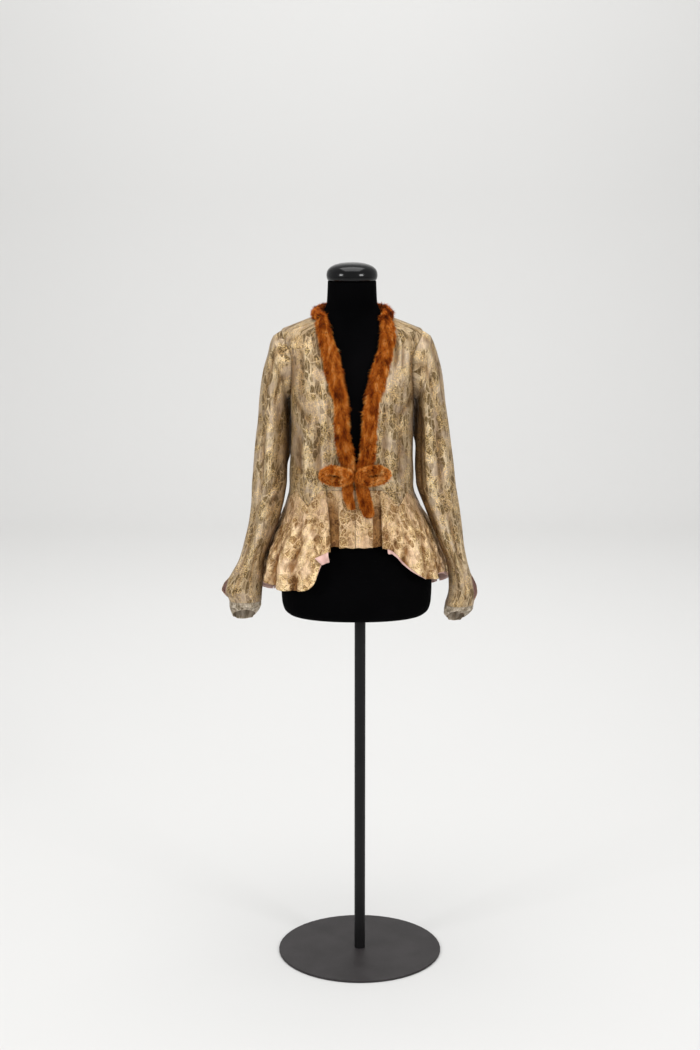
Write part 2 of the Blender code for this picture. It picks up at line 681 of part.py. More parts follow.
def bodice_rows(angle, level):
    """Heights of a panel's points: the lowest row follows the pointed waist seam."""
    lowest = level[0, 0]
    seam = waist(angle[:1]) + WAIST_GAP
    part = np.clip((level - lowest) / (STRETCHED_BELOW - lowest), 0, 1)
    return np.where(level < STRETCHED_BELOW, seam + part * (STRETCHED_BELOW - seam), level + 0 * angle)


def make_bodice():
    """Two fronts with the open neckline between them, and the back."""
    lame = make_material("lame_taupe", (0.43, 0.36, 0.22), 0.5, 0.25)
    level = bodice_levels()
    knots = [row[0] for row in WAIST_SEAM]
    depth = read_table(level, FORM_LEVELS)[..., 1]
    seam_angle = np.degrees(SEAM / depth)
    edges = read_table(level, FRONT_EDGES)
    in_armhole = (level > UNDERARM + 1e-6) & (level < SHOULDER_TIP - 1e-6)
    outer = np.where(in_armhole, armhole_angle(level, 1), 90) - seam_angle
    front_knots = with_middles([knot for knot in knots if knot <= 90])
    for side, name in ((LEFT, "bodice_front_left"), (RIGHT, "bodice_front_right")):
        inner = angle_at(edges[..., 0] if side == LEFT else edges[..., 1], level)
        first = side * inner[0, 0]
        front_knots[0] = first
        across = (front_knots - first) / (90 - first)
        angle = inner + across[None, :] * (side * outer - inner)
        grid = cloth(angle, bodice_rows(angle, level))
        sheet(name, grid, lame, body_axis(grid))
    outer = np.where(in_armhole, armhole_angle(level, 2), 90) + seam_angle
    back_knots = with_middles([knot for knot in knots if knot >= 90])
    across = (np.concatenate([back_knots, 360 - back_knots[-2::-1]]) - 90) / 180
    angle = outer + across[None, :] * (360 - 2 * outer)
    angle = np.where(angle > 180, angle - 360, angle)
    grid = cloth(angle, bodice_rows(angle, level))
    sheet("bodice_back", grid, lame, body_axis(grid))


def sleeve_ring(row, side, turn, first_half, sleeve_folds):
    """One ring of a sleeve: an oval between its inner and outer point, with the long folds on it.

    The ring starts and ends at its outer point, where the slit parts it into a front and a back edge.
    """
    outer_x, outer_z, inner_x, inner_z, half_depth, middle_y, slit = row
    height = (outer_z + inner_z) / 2
    reach = 1 + 0 * turn
    for angle, width, rise, top, bottom in sleeve_folds:
        shape = np.exp(-((np.degrees(turn) - angle) / width) ** 2)
        fade = ramp(height, bottom, bottom + SLEEVE_FOLD_FADE) * ramp(top - height, 0, SLEEVE_FOLD_FADE)
        reach = reach + shape * fade * rise / half_depth
    across = -np.cos(turn) * reach
    x = (outer_x + inner_x) / 2 + across * (outer_x - inner_x) / 2
    z = height + across * (outer_z - inner_z) / 2
    part = slit * np.clip(-np.cos(turn), 0, 1) ** 6
    y = middle_y - half_depth * np.sin(turn) * reach - np.where(first_half, part, -part)
    middle_x = read_table(outer_z, FORM_LEVELS)[4]
    return np.stack([side * x + middle_x, y, z], axis=-1)


def make_sleeves():
    """Sleeves from the armholes down, each with a slit above its turned cuff."""
    lame = make_material("lame_taupe", (0.43, 0.36, 0.22), 0.5, 0.25)
    silver = make_material("lame_silver", (0.42, 0.42, 0.38), 0.45, 0.3)
    first_half, turn = sleeve_turns()
    height = armhole_height(turn)
    in_front = np.sin(turn) > 0
    angle = np.where(in_front, armhole_angle(height, 1), armhole_angle(height, 2))
    away = 3 * SEAM
    for side, name, rows, cuff_rows, fold_rows in (
        (LEFT, "left", SLEEVE_LEFT, CUFF_LEFT, SLEEVE_FOLDS_LEFT),
        (RIGHT, "right", SLEEVE_RIGHT, CUFF_RIGHT, SLEEVE_FOLDS_RIGHT),
    ):
        seam = cloth(side * angle, height)
        seam[:, 0] += side * away
        seam[:, 2] -= SEAM * np.cos(turn)
        rings = [seam] + [sleeve_ring(row, side, turn, first_half, fold_rows) for row in rows]
        grid = np.array(rings)
        sheet(f"sleeve_{name}", grid, lame, grid.mean(axis=1, keepdims=True))
        grid = np.array([sleeve_ring(row, side, turn, first_half, fold_rows) for row in cuff_rows])
        sheet(f"cuff_{name}", grid, silver, grid.mean(axis=1, keepdims=True))


def moved_in(grid, distance):
    """The points of a grid moved towards the body."""
    return grid - cell_normals(grid, body_axis(grid)) * distance


def make_peplum():
    """Short fronts with an inverted pleat, flared sides with a pointed top, the longer back, and their lining."""
    gold = make_material("lame_gold", (0.55, 0.41, 0.23), 0.45, 0.3)
    pink = make_material("satin_pink", (0.76, 0.49, 0.42), 0.4)
    down = np.linspace(0, 1, PEPLUM_FRONT_ROWS)[:, None]
    drop = np.linspace(0, 1, PEPLUM_ROWS)[:, None]
    knots = [row[0] for row in WAIST_SEAM]
    for side, name in ((LEFT, "left"), (RIGHT, "right")):
        column = 0 if side == LEFT else 1
        stops = np.array([row[column] for row in PLEATS])[None, :]
        top_depth = np.array([row[2] for row in PLEATS])[None, :]
        depth = np.array([row[3] for row in PLEATS])[None, :]
        z = WAIST_FRONT + 0 * stops
        top = waist(angle_at(read_table(z, FRONT_EDGES)[..., column] + stops, z)) - WAIST_GAP
        z = top + down * (FRONT_HEM - top)
        x = read_table(z, FRONT_EDGES)[..., column] + stops
        back = top_depth + (depth - top_depth) * ramp(down, PLEAT_FROM, PLEAT_FULL)
        grid = cloth(angle_at(x, z), z, -back)
        sheet(f"peplum_front_{name}", grid, gold, body_axis(grid))

        start = float(side * angle_at(np.array(SIDE_START_X[side]), np.array(WAIST_FRONT)))
        last = SIDE_END - SIDE_GAP_ANGLE
        marks = [start] + [knot for knot in knots if start < knot <= SIDE_END]
        marks = with_middles(with_middles(marks))
        across = np.clip((marks[None, :] - start) / (last - start), 0, 1)
        nominal = side * (start + across * (last - start))
        top = waist(nominal) - WAIST_GAP
        turn_in = np.zeros(across.shape)
        turn_in[0, 0] = FOLD_RETURN
        for lining in (False, True):
            z = top + drop * (hem(nominal, lining) - top)
            begin = side * angle_at(SIDE_START_X[side] + 0 * z[:, :1], z[:, :1])
            begin = begin + start - begin[0]
            angle = side * (begin + across * (last - begin))
            z = top + drop * (hem(angle, lining) - top)
            if lining:
                grid = moved_in(cloth(angle, z, folds(angle, z))[:, 2:], WALL + 2 * SEAM)[LINING_ROW:]
                sheet(f"lining_side_{name}", grid, pink, body_axis(grid))
            else:
                grid = cloth(angle, z, folds(angle, z) - turn_in * ramp(drop, 0, FOLD_RETURN_FULL))
                sheet(f"peplum_side_{name}", grid, gold, body_axis(grid))
    marks = with_middles(with_middles([knot for knot in knots if knot >= SIDE_END]))
    back = np.concatenate([marks, 360 - marks[-2::-1]])[None, :]
    back = np.where(back > 180, back - 360, back)
    top = waist(back) - WAIST_GAP
    z = top + drop * (hem(back) - top)
    grid = cloth(back + 0 * z, z, folds(back, z))
    sheet("peplum_back", grid, gold, body_axis(grid))
    z = top + drop * (hem(back, True) - top)
    grid = moved_in(cloth(back + 0 * z, z, folds(back, z)), WALL + 2 * SEAM)[LINING_ROW:, 1:-1]
    sheet("lining_back", grid, pink, body_axis(grid))


def fur_strip(name, places, thickness, base, fur):
    """A band of fur at the given height over the cloth: flat below, rounded above.

    Each place is a row of the inner edge's angle and height and the outer edge's angle and height.
    """
    top = np.array(FUR_TOP_PARTS)
    rise = np.array(FUR_TOP_RISE)
    under = np.array(FUR_UNDER_PARTS)
    places = np.asarray(places, float)
    thickness = np.asarray(thickness, float)[:, None]
    rings = []
    for part, lift in ((top, rise), (under, 0 * under)):
        angle = places[:, 0:1] + (places[:, 2:3] - places[:, 0:1]) * part
        z = places[:, 1:2] + (places[:, 3:4] - places[:, 1:2]) * part
        rings.append(cloth(angle, z, base + thickness * lift))
    solid(name, np.concatenate(rings, axis=1), fur)


def make_fur():
    """The fur band: up the left front, round the back of the neck and down the right front."""
    fur = make_material("fur_rust", (0.42, 0.14, 0.03), 0.8)
    front = np.array(FUR_FRONT)
    height, left_inner, left_outer, right_inner, right_outer, drop, thickness = front.T
    left = np.stack([
        angle_at(left_inner, height), height, angle_at(left_outer, height - drop), height - drop, thickness,
    ], axis=-1)
    right = np.stack([
        angle_at(right_inner, height), height, angle_at(right_outer, height - drop), height - drop, thickness,
    ], axis=-1)
    neck = np.array(FUR_NECK)
    neck_left = neck * np.array([-1, 1, -1, 1, 1])
    neck_right = neck[-2::-1] - np.array([360, 0, 360, 0, 0])
    right = right[::-1] - np.array([360, 0, 360, 0, 0])
    path = np.concatenate([left, neck_left, neck_right, right])
    weights = np.array([METRES_A_DEGREE, 1, METRES_A_DEGREE, 1, 0])
    step = np.linalg.norm(np.diff(path * weights, axis=0), axis=1)
    along = np.concatenate([[0], np.cumsum(step)])
    table = np.column_stack([along, path])
    stations = read_table(np.linspace(0, along[-1], FUR_STATIONS), table)
    fur_strip("fur_collar", stations[:, :4], stations[:, 4], COLLAR_BASE, fur)


def make_bow():
    """Two flat loops of the fur band, and its two ends hanging below them."""
    fur = make_material("fur_rust", (0.42, 0.14, 0.03), 0.8)
    turn = np.linspace(0, 2 * math.pi, LOOP_TURNS, endpoint=False)[:, None]
    section = np.linspace(0, 2 * math.pi, LOOP_SIDES, endpoint=False)[None, :]
    for name, (middle_x, middle_z, half_width, half_height, tube) in LOOPS.items():
        x = middle_x + (half_width + tube * np.cos(section)) * np.cos(turn)
        z = middle_z + (half_height + tube * np.cos(section)) * np.sin(turn)
        lift = LOOP_LIFT * (1 - ramp(np.abs(x - BOW_MIDDLE), LOOP_LIFT_FROM, LOOP_LIFT_TO))
        grid = on_front(x, z, 2 * GAP + lift + tube * (1 + np.sin(section)))
        solid(name, grid, fur, ring=True)
    for name, rows in TAILS.items():
        height = np.linspace(rows[-1][0], rows[0][0], TAIL_STATIONS)
        inner, outer, thickness = read_table(height, rows[::-1]).T
        places = np.stack([angle_at(inner, height), height, angle_at(outer, height), height], axis=-1)
        fur_strip(name, places, thickness, TAIL_BASE, fur)


def main():
    for thing in list(bpy.data.objects):
        bpy.data.objects.remove(thing, do_unlink=True)
    make_stand()
    make_form()
    make_bodice()
    make_sleeves()
    make_peplum()
    make_fur()
    make_bow()


main()
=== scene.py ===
import math

import bpy
import numpy as np
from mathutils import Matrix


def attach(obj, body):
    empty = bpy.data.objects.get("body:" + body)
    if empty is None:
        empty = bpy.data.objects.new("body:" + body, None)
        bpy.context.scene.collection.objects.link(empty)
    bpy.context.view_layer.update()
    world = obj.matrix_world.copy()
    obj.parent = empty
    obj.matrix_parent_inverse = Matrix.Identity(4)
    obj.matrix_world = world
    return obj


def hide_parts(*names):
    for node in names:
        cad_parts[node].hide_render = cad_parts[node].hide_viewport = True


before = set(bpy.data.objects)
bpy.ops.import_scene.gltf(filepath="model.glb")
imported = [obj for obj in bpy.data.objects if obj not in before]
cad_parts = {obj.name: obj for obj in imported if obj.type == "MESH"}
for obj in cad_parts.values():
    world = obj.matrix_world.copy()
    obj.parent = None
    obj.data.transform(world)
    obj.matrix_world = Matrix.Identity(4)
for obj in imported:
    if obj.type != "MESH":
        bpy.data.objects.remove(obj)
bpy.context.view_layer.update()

# Camera: at eye height, four metres in front, looking a little down so that the foot shows as an ellipse.
camera_data = bpy.data.cameras.new("camera")
camera_data.sensor_width = 36
camera_data.lens = 64.11
camera = bpy.data.objects.new("camera", camera_data)
camera.location = (-0.0223, -4.034, 1.776)
camera.rotation_euler = (math.radians(79.0), 0, 0)
bpy.context.scene.collection.objects.link(camera)
bpy.context.scene.camera = camera
bpy.context.scene.view_settings.view_transform = "Standard"

# Stand: a round foot cut from steel plate, a steel tube screwed into it, and a socket under the body.
# All three are powder-coated in matt charcoal with a fine grain, and the foot's coat is a lighter grey.


def put_in_scene(name, data):
    """A new object of some data, at the origin and in the scene's collection."""
    made = bpy.data.objects.new(name, data)
    bpy.context.scene.collection.objects.link(made)
    return made


def wire(finish, kind, settings=(), inputs=()):
    """A shader node with its settings by name, and its inputs set to numbers or joined to outputs."""
    made = finish.node_tree.nodes.new("ShaderNode" + kind)
    for key, value in dict(settings).items():
        setattr(made, key, value)
    for key, value in dict(inputs).items():
        if isinstance(value, bpy.types.NodeSocket):
            finish.node_tree.links.new(value, made.inputs[key])
        else:
            made.inputs[key].default_value = value
    return made


def new_finish(name, **sockets):
    """A node material and its shader, with the given numbers on the shader's own sockets."""
    finish = bpy.data.materials.new(name)
    finish.use_nodes = True
    shader = finish.node_tree.nodes["Principled BSDF"]
    for key, value in sockets.items():
        shader.inputs[key.replace("_", " ")].default_value = value
    return finish, shader


def colour_steps(finish, source, steps):
    """A colour ramp on a value: each step is a place from 0 to 1 and a colour."""
    made = wire(finish, "ValToRGB", inputs={"Fac": source})
    elements = made.color_ramp.elements
    while len(elements) < len(steps):
        elements.new(0.5)
    for element, (place, colour) in zip(elements, steps):
        element.position = place
        element.color = (*colour, 1)
    return made.outputs["Color"]


def map_range(finish, value, low, high, to_low, to_high):
    """A value carried in a straight line from one range to another, and held at its ends."""
    made = wire(finish, "MapRange", inputs={
        "Value": value, "From Min": low, "From Max": high, "To Min": to_low, "To Max": to_high})
    return made.outputs["Result"]


def clouded_finish(name, source, scale, detail, steps, **sockets):
    """A material whose colour follows soft noise: also gives its shader, its coordinates and the noise."""
    finish, shader = new_finish(name, **sockets)
    place = wire(finish, "TexCoord").outputs[source]
    cloud = wire(finish, "TexNoise", inputs={"Vector": place, "Scale": scale, "Detail": detail})
    cloud = cloud.outputs["Fac"]
    finish.node_tree.links.new(colour_steps(finish, cloud, steps), shader.inputs["Base Color"])
    return finish, shader, place, cloud


def raise_surface(finish, shader, height, distance, strength=1.0, under=None):
    """Bump of a height in metres, on top of another bump where one is given."""
    inputs = {"Height": height, "Distance": distance, "Strength": strength}
    if under is not None:
        inputs["Normal"] = under
    made = wire(finish, "Bump", inputs=inputs)
    finish.node_tree.links.new(made.outputs["Normal"], shader.inputs["Normal"])
    return made.outputs["Normal"]


def powder_coat(name, low, high):
    """Matt coat: two mixed greys, with a fine orange-peel grain."""
    finish, shader, place, _ = clouded_finish(
        name, "Object", 14.0, 5.0, ((0.35, low), (0.65, high)), Specular_IOR_Level=0.2)
    grain = wire(finish, "TexNoise", inputs={"Vector": place, "Scale": 900.0, "Detail": 2.0}).outputs["Fac"]
    finish.node_tree.links.new(map_range(finish, grain, 0.0, 1.0, 0.38, 0.62), shader.inputs["Roughness"])
    raise_surface(finish, shader, grain, 0.0002, 0.5)
    return finish


foot_coat = powder_coat("foot_coat", (0.026, 0.023, 0.0235), (0.037, 0.033, 0.034))
pole_coat = powder_coat("pole_coat", (0.0050, 0.0048, 0.0050), (0.0080, 0.0076, 0.0080))
for node, coat in (("stand_base", foot_coat), ("stand_pole", pole_coat), ("stand_socket", pole_coat)):
    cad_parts[node].data.materials.clear()
    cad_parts[node].data.materials.append(coat)


# Dress form: a foam body with no limbs, covered in black cotton jersey that is drawn smooth over it.
# The jersey has a seam down each side and ends under the turned cap.
# Columns: height, half width, front, back, squareness, middle x
FORM_LEVELS = (
    (0.7915, 0.1300, 0.0800, 0.0900, 2.2, -0.008),
    (0.7960, 0.1490, 0.0980, 0.1080, 2.2, -0.008),
    (0.8070, 0.1600, 0.1080, 0.1180, 2.2, -0.008),
    (0.8250, 0.1645, 0.1130, 0.1230, 2.2, -0.008),
    (0.8600, 0.1660, 0.1150, 0.1250, 2.2, -0.008),
    (0.9200, 0.1610, 0.1120, 0.1210, 2.2, -0.010),
    (0.9800, 0.1480, 0.1040, 0.1090, 2.2, -0.012),
    (1.0400, 0.1300, 0.0950, 0.0950, 2.2, -0.015),
    (1.0900, 0.1190, 0.0910, 0.0860, 2.2, -0.018),
    (1.1400, 0.1195, 0.0980, 0.0850, 2.2, -0.018),
    (1.1900, 0.1240, 0.1080, 0.0870, 2.2, -0.018),
    (1.2350, 0.1285, 0.1150, 0.0900, 2.2, -0.018),
    (1.2800, 0.1310, 0.1090, 0.0930, 2.3, -0.018),
    (1.3200, 0.1355, 0.0950, 0.0940, 2.4, -0.018),
    (1.3600, 0.1430, 0.0790, 0.0890, 2.5, -0.018),
    (1.3900, 0.1490, 0.0680, 0.0810, 2.5, -0.018),
    (1.4080, 0.1500, 0.0620, 0.0750, 2.4, -0.018),
    (1.4180, 0.1460, 0.0590, 0.0710, 2.3, -0.018),
    (1.4250, 0.1360, 0.0570, 0.0680, 2.2, -0.018),
    (1.4320, 0.1200, 0.0555, 0.0650, 2.1, -0.018),
    (1.4400, 0.1000, 0.0540, 0.0615, 2.0, -0.018),
    (1.4480, 0.0800, 0.0530, 0.0580, 2.0, -0.018),
    (1.4560, 0.0665, 0.0525, 0.0555, 2.0, -0.018),
    (1.4660, 0.0585, 0.0520, 0.0540, 2.0, -0.018),
    (1.4800, 0.0542, 0.0520, 0.0528, 2.0, -0.018),
    (1.5245, 0.0520, 0.0520, 0.0520, 2.0, -0.018),
)
MIDDLE_X = FORM_LEVELS[-1][-1]
SHOULDER_LOW = 1.30
SHOULDER_HIGH = 1.37


def read_table(at, table):
    """Every column of a table at places of its first one, by cubic curves whose slopes don't overshoot."""
    rows = np.array(table, float)
    knots = rows[:, 0]
    values = rows[:, 1:]
    run = np.diff(knots)
    slope = np.diff(values, axis=0) / run[:, None]
    product = slope[1:] * slope[:-1]
    total = slope[1:] + slope[:-1]
    agree = product > 0
    inner = np.where(agree, 2 * product / np.where(agree, total, 1), 0)
    tangent = np.vstack([slope[:1], inner, slope[-1:]])
    at = np.clip(np.asarray(at, float), knots[0], knots[-1])
    row = np.clip(np.searchsorted(knots, at) - 1, 0, len(run) - 1)
    length = run[row][..., None]
    t = (at - knots[row])[..., None] / length
    return (
        values[row] * (1 + 2 * t) * (1 - t) ** 2
        + values[row + 1] * t * t * (3 - 2 * t)
        + tangent[row] * length * t * (1 - t) ** 2
        + tangent[row + 1] * length * t * t * (t - 1)
    )


def even_rows(table, count):
    """Rows of a table at evenly spaced places between its first row and its last."""
    table = np.array(table, float)
    return read_table(np.linspace(0, len(table) - 1, count), np.column_stack([np.arange(len(table)), table]))


def ramp(value, start, end):
    """Smooth rise from 0 at start to 1 at end: three times the square less twice the cube."""
    t = np.clip((value - start) / (end - start), 0, 1)
    return t * t * (3 - 2 * t)


def body_level(x, y, z):
    """Superellipse level of a point at its height: 0 on the body's skin and above 0 outside."""
    half_width, front, back, power, middle = np.moveaxis(read_table(z, FORM_LEVELS), -1, 0)
    depth = np.where(y < 0, front, back)
    return np.abs((x - middle) / half_width) ** power + np.abs(y / depth) ** power - 1


def body_surface(angle, z, out=0.0):
    """Point of the superellipse section at an angle and a height, moved out along the surface's normal.

    The angle runs from the middle of the front (0) by the side (90, or -90 at -X) to the back (180).
    """
    angle = np.radians(angle) + 0 * z
    z = z + 0 * angle
    half_width, front, back, power, middle = np.moveaxis(read_table(z, FORM_LEVELS), -1, 0)
    side = np.sin(angle)
    ahead = np.cos(angle)
    reach = (np.abs(side) ** power + np.abs(ahead) ** power) ** (-1 / power)
    x = middle + half_width * side * reach
    y = -np.where(ahead > 0, front, back) * ahead * reach
    step = 1e-4
    normal = np.stack([
        body_level(x + step, y, z) - body_level(x - step, y, z),
        body_level(x, y + step, z) - body_level(x, y - step, z),
        (body_level(x, y, z + step) - body_level(x, y, z - step)) * ramp(z, SHOULDER_LOW, SHOULDER_HIGH),
    ], axis=-1)
    normal /= np.linalg.norm(normal, axis=-1, keepdims=True)
    return np.stack([x, y, z], axis=-1) + normal * np.asarray(out + 0 * z)[..., None]


def closed_mesh(name, grid, finish, uv=None):
    """Mesh of rings of points, each joined to the next and to itself, with a fan of faces over both ends."""
    rows, columns = grid.shape[:2]
    corner = np.arange(rows * columns).reshape(rows, columns)
    right = np.roll(corner, -1, axis=1)
    quads = np.stack([corner[:-1], right[:-1], right[1:], corner[1:]], axis=-1).reshape(-1, 4)
    faces = [tuple(row) for row in quads.tolist()]
    faces.append(tuple(range(columns - 1, -1, -1)))
    faces.append(tuple(range((rows - 1) * columns, rows * columns)))
    points = grid.reshape(-1, 3)
    centre = points.mean(axis=0)
    a, b, c = (points[quads[:, k]] - centre for k in range(3))
    if np.sum(a * np.cross(b, c)) < 0:
        faces = [face[::-1] for face in faces]
    mesh = bpy.data.meshes.new(name)
    mesh.from_pydata(points.tolist(), [], faces)
    mesh.shade_smooth()
    mesh.set_sharp_from_angle(angle=math.radians(50))
    mesh.materials.append(finish)
    return put_in_scene(name, mesh)


def place_piece(piece, slot, *nodes):
    """The piece rides on the one body and stands for CAD nodes, which it hides; its slot is not used."""
    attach(piece, "root")
    if nodes:
        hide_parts(*nodes)


jersey, jersey_shader, jersey_place, _ = clouded_finish(
    "black_jersey", "Object", 9.0, 4.0, ((0.3, (0.0008, 0.0008, 0.0010)), (0.7, (0.0020, 0.0019, 0.0022))),
    Roughness=0.9, Specular_IOR_Level=0.02)
jersey_knit = wire(jersey, "TexWave", {"wave_type": "BANDS", "bands_direction": "Z"}, {
    "Vector": jersey_place, "Scale": 420.0, "Distortion": 2.0, "Detail": 1.0, "Detail Scale": 2.0})
raise_surface(jersey, jersey_shader, jersey_knit.outputs["Fac"], 0.0002, 0.4)

form_turn = np.linspace(0, 360, 96, endpoint=False)
form_levels = [row[0] for row in FORM_LEVELS]
form_heights = np.interp(np.linspace(0, len(form_levels) - 1, 126), np.arange(len(form_levels)), form_levels)
form_seam = -0.0006 * (np.exp(-((form_turn - 90) / 0.8) ** 2) + np.exp(-((form_turn - 270) / 0.8) ** 2))
form_grid = body_surface(
    form_turn[None, :], form_heights[:, None], form_seam[None, :] + 0 * form_heights[:, None])
place_piece(closed_mesh("form_body", form_grid, jersey), "form_jersey", "form_torso")


# Cap: a turned wooden knob with a high-gloss black lacquer, glued on top of the neck.
# Its wide rim stands out over the jersey and its crown is a flat dome.
# Columns: radius, height
CAP_PROFILE = (
    (0.0480, 0.0003),
    (0.0515, 0.0012),
    (0.0536, 0.0045),
    (0.0548, 0.0100),
    (0.0547, 0.0150),
    (0.0536, 0.0205),
    (0.0508, 0.0255),
    (0.0455, 0.0302),
    (0.0370, 0.0345),
    (0.0260, 0.0376),
    (0.0130, 0.0392),
    (0.0030, 0.0395),
)
CAP_MIDDLE = (-0.018, 0.0, 1.525)
lacquer, lacquer_shader, _, lacquer_cloud = clouded_finish(
    "black_lacquer", "Object", 30.0, 6.0, ((0.4, (0.0018, 0.0018, 0.0022)), (0.6, (0.0030, 0.0030, 0.0036))),
    Roughness=0.16, Specular_IOR_Level=0.28)
raise_surface(lacquer, lacquer_shader, lacquer_cloud, 0.0004, 0.15)
cap_turn = np.linspace(0, 2 * math.pi, 80, endpoint=False)
cap_radius, cap_height = (np.array(column)[:, None] for column in zip(*CAP_PROFILE))
cap_grid = np.stack([
    cap_radius * np.cos(cap_turn), cap_radius * np.sin(cap_turn), cap_height + 0 * cap_turn], axis=-1)
place_piece(closed_mesh("form_knob", cap_grid + np.array(CAP_MIDDLE), lacquer), "cap_gloss", "form_cap")


# Bodice: two fronts and a back of metallic brocade, cut close and open in a long V, sewn at the sides.
# Taupe ground with woven leaves and flames of dull gold thread, soft and creased from age.
# Columns: height, front, left, right, back
EASE_LEVELS = (
    (0.800, 0.0300, 0.0410, 0.0330, 0.0520),
    (0.860, 0.0270, 0.0375, 0.0290, 0.0460),
    (0.910, 0.0250, 0.0350, 0.0250, 0.0400),
    (0.965, 0.0230, 0.0260, 0.0200, 0.0300),
    (1.000, 0.0210, 0.0185, 0.0180, 0.0240),
    (1.040, 0.0180, 0.0160, 0.0130, 0.0200),
    (1.063, 0.0165, 0.0160, 0.0125, 0.0180),
    (1.100, 0.0150, 0.0165, 0.0145, 0.0160),
    (1.150, 0.0110, 0.0130, 0.0115, 0.0130),
    (1.190, 0.0060, 0.0075, 0.0080, 0.0090),
    (1.235, 0.0030, 0.0030, 0.0030, 0.0060),
    (1.280, 0.0030, 0.0025, 0.0025, 0.0040),
    (1.340, 0.0028, 0.0028, 0.0028, 0.0030),
    (1.400, 0.0022, 0.0026, 0.0026, 0.0030),
    (1.440, 0.0014, 0.0013, 0.0013, 0.0016),
    (1.500, 0.0012, 0.0012, 0.0012, 0.0012),
)
# Columns: height, left x, right x
FRONT_EDGES = (
    (0.940, -0.0008, 0.0000),
    (1.040, 0.0030, 0.0038),
    (1.090, 0.0060, 0.0068),
    (1.120, 0.0076, 0.0084),
    (1.130, 0.0080, 0.0090),
    (1.150, 0.0050, 0.0125),
    (1.174, 0.0000, 0.0195),
    (1.228, -0.0110, 0.0270),
    (1.282, -0.0145, 0.0310),
    (1.343, -0.0250, 0.0465),
    (1.386, -0.0365, 0.0600),
    (1.428, -0.0530, 0.0680),
    (1.456, -0.0575, 0.0620),
)
# Columns: angle, left height, right height
WAIST_SEAM = (
    (0, 1.088, 1.088),
    (29, 1.086, 1.086),
    (33, 1.077, 1.077),
    (42, 1.051, 1.048),
    (52, 1.066, 1.064),
    (59, 1.079, 1.078),
    (66, 1.070, 1.066),
    (90, 1.046, 1.044),
    (112, 1.080, 1.080),
    (135, 1.050, 1.050),
    (158, 1.080, 1.080),
    (180, 1.062, 1.062),
)
WALL = 0.0012
UNDERARM = 1.274
SHOULDER_TIP = 1.418
NECK_EDGE = 1.456
ARMHOLE_HALF_DEPTH = 0.047
SEAM_GAP = 0.00025
CREASE_DEPTH = 0.0028
CLOTH_WALL = 0.0009
# Columns: from x, from z, to x, to z, width, rise, bend
FRONT_CREASES = {
    -1: (
        (-0.074, 1.432, -0.066, 1.362, 0.0040, -0.0026, 0.002),
        (-0.084, 1.425, -0.078, 1.378, 0.0035, -0.0020, 0.001),
        (-0.066, 1.430, -0.058, 1.372, 0.0040, 0.0020, 0.001),
        (-0.094, 1.400, -0.088, 1.300, 0.0070, 0.0016, 0.004),
        (-0.108, 1.390, -0.112, 1.290, 0.0060, -0.0020, -0.004),
        (-0.060, 1.345, -0.052, 1.180, 0.0060, 0.0020, 0.003),
        (-0.050, 1.300, -0.046, 1.150, 0.0045, -0.0016, 0.002),
        (-0.128, 1.290, -0.082, 1.225, 0.0060, -0.0022, 0.006),
        (-0.124, 1.268, -0.092, 1.200, 0.0050, 0.0016, 0.005),
        (-0.080, 1.260, -0.074, 1.090, 0.0080, -0.0022, -0.004),
        (-0.098, 1.240, -0.096, 1.070, 0.0060, 0.0020, 0.003),
        (-0.114, 1.210, -0.118, 1.090, 0.0060, -0.0018, -0.003),
        (-0.064, 1.210, -0.056, 1.100, 0.0050, 0.0016, 0.002),
        (-0.034, 1.145, -0.040, 1.092, 0.0040, -0.0014, 0.000),
        (-0.125, 1.130, -0.070, 1.118, 0.0035, -0.0014, 0.004),
        (-0.120, 1.112, -0.080, 1.106, 0.0030, 0.0012, -0.003),
        (-0.126, 1.160, -0.096, 1.150, 0.0030, -0.0012, 0.003),
        (-0.146, 1.400, -0.112, 1.408, 0.0040, -0.0014, 0.002),
    ),
    1: (
        (0.094, 1.420, 0.091, 1.340, 0.0040, -0.0030, -0.002),
        (0.101, 1.415, 0.099, 1.345, 0.0035, 0.0022, -0.002),
        (0.108, 1.410, 0.107, 1.330, 0.0035, -0.0020, -0.002),
        (0.085, 1.350, 0.072, 1.260, 0.0060, 0.0022, 0.003),
        (0.120, 1.395, 0.123, 1.300, 0.0060, 0.0018, 0.004),
        (0.070, 1.300, 0.064, 1.140, 0.0060, -0.0020, -0.003),
        (0.130, 1.292, 0.092, 1.238, 0.0060, -0.0024, -0.006),
        (0.127, 1.270, 0.100, 1.212, 0.0050, 0.0018, -0.005),
        (0.086, 1.250, 0.084, 1.080, 0.0070, 0.0020, 0.003),
        (0.104, 1.230, 0.108, 1.090, 0.0060, -0.0022, 0.003),
        (0.122, 1.200, 0.122, 1.090, 0.0050, 0.0016, -0.002),
        (0.058, 1.180, 0.068, 1.096, 0.0050, 0.0014, 0.002),
        (0.074, 1.130, 0.116, 1.118, 0.0035, -0.0014, -0.004),
        (0.080, 1.110, 0.118, 1.104, 0.0030, 0.0012, 0.003),
        (0.098, 1.158, 0.126, 1.164, 0.0030, -0.0012, -0.003),
        (0.112, 1.406, 0.146, 1.398, 0.0040, -0.0014, -0.002),
    ),
}
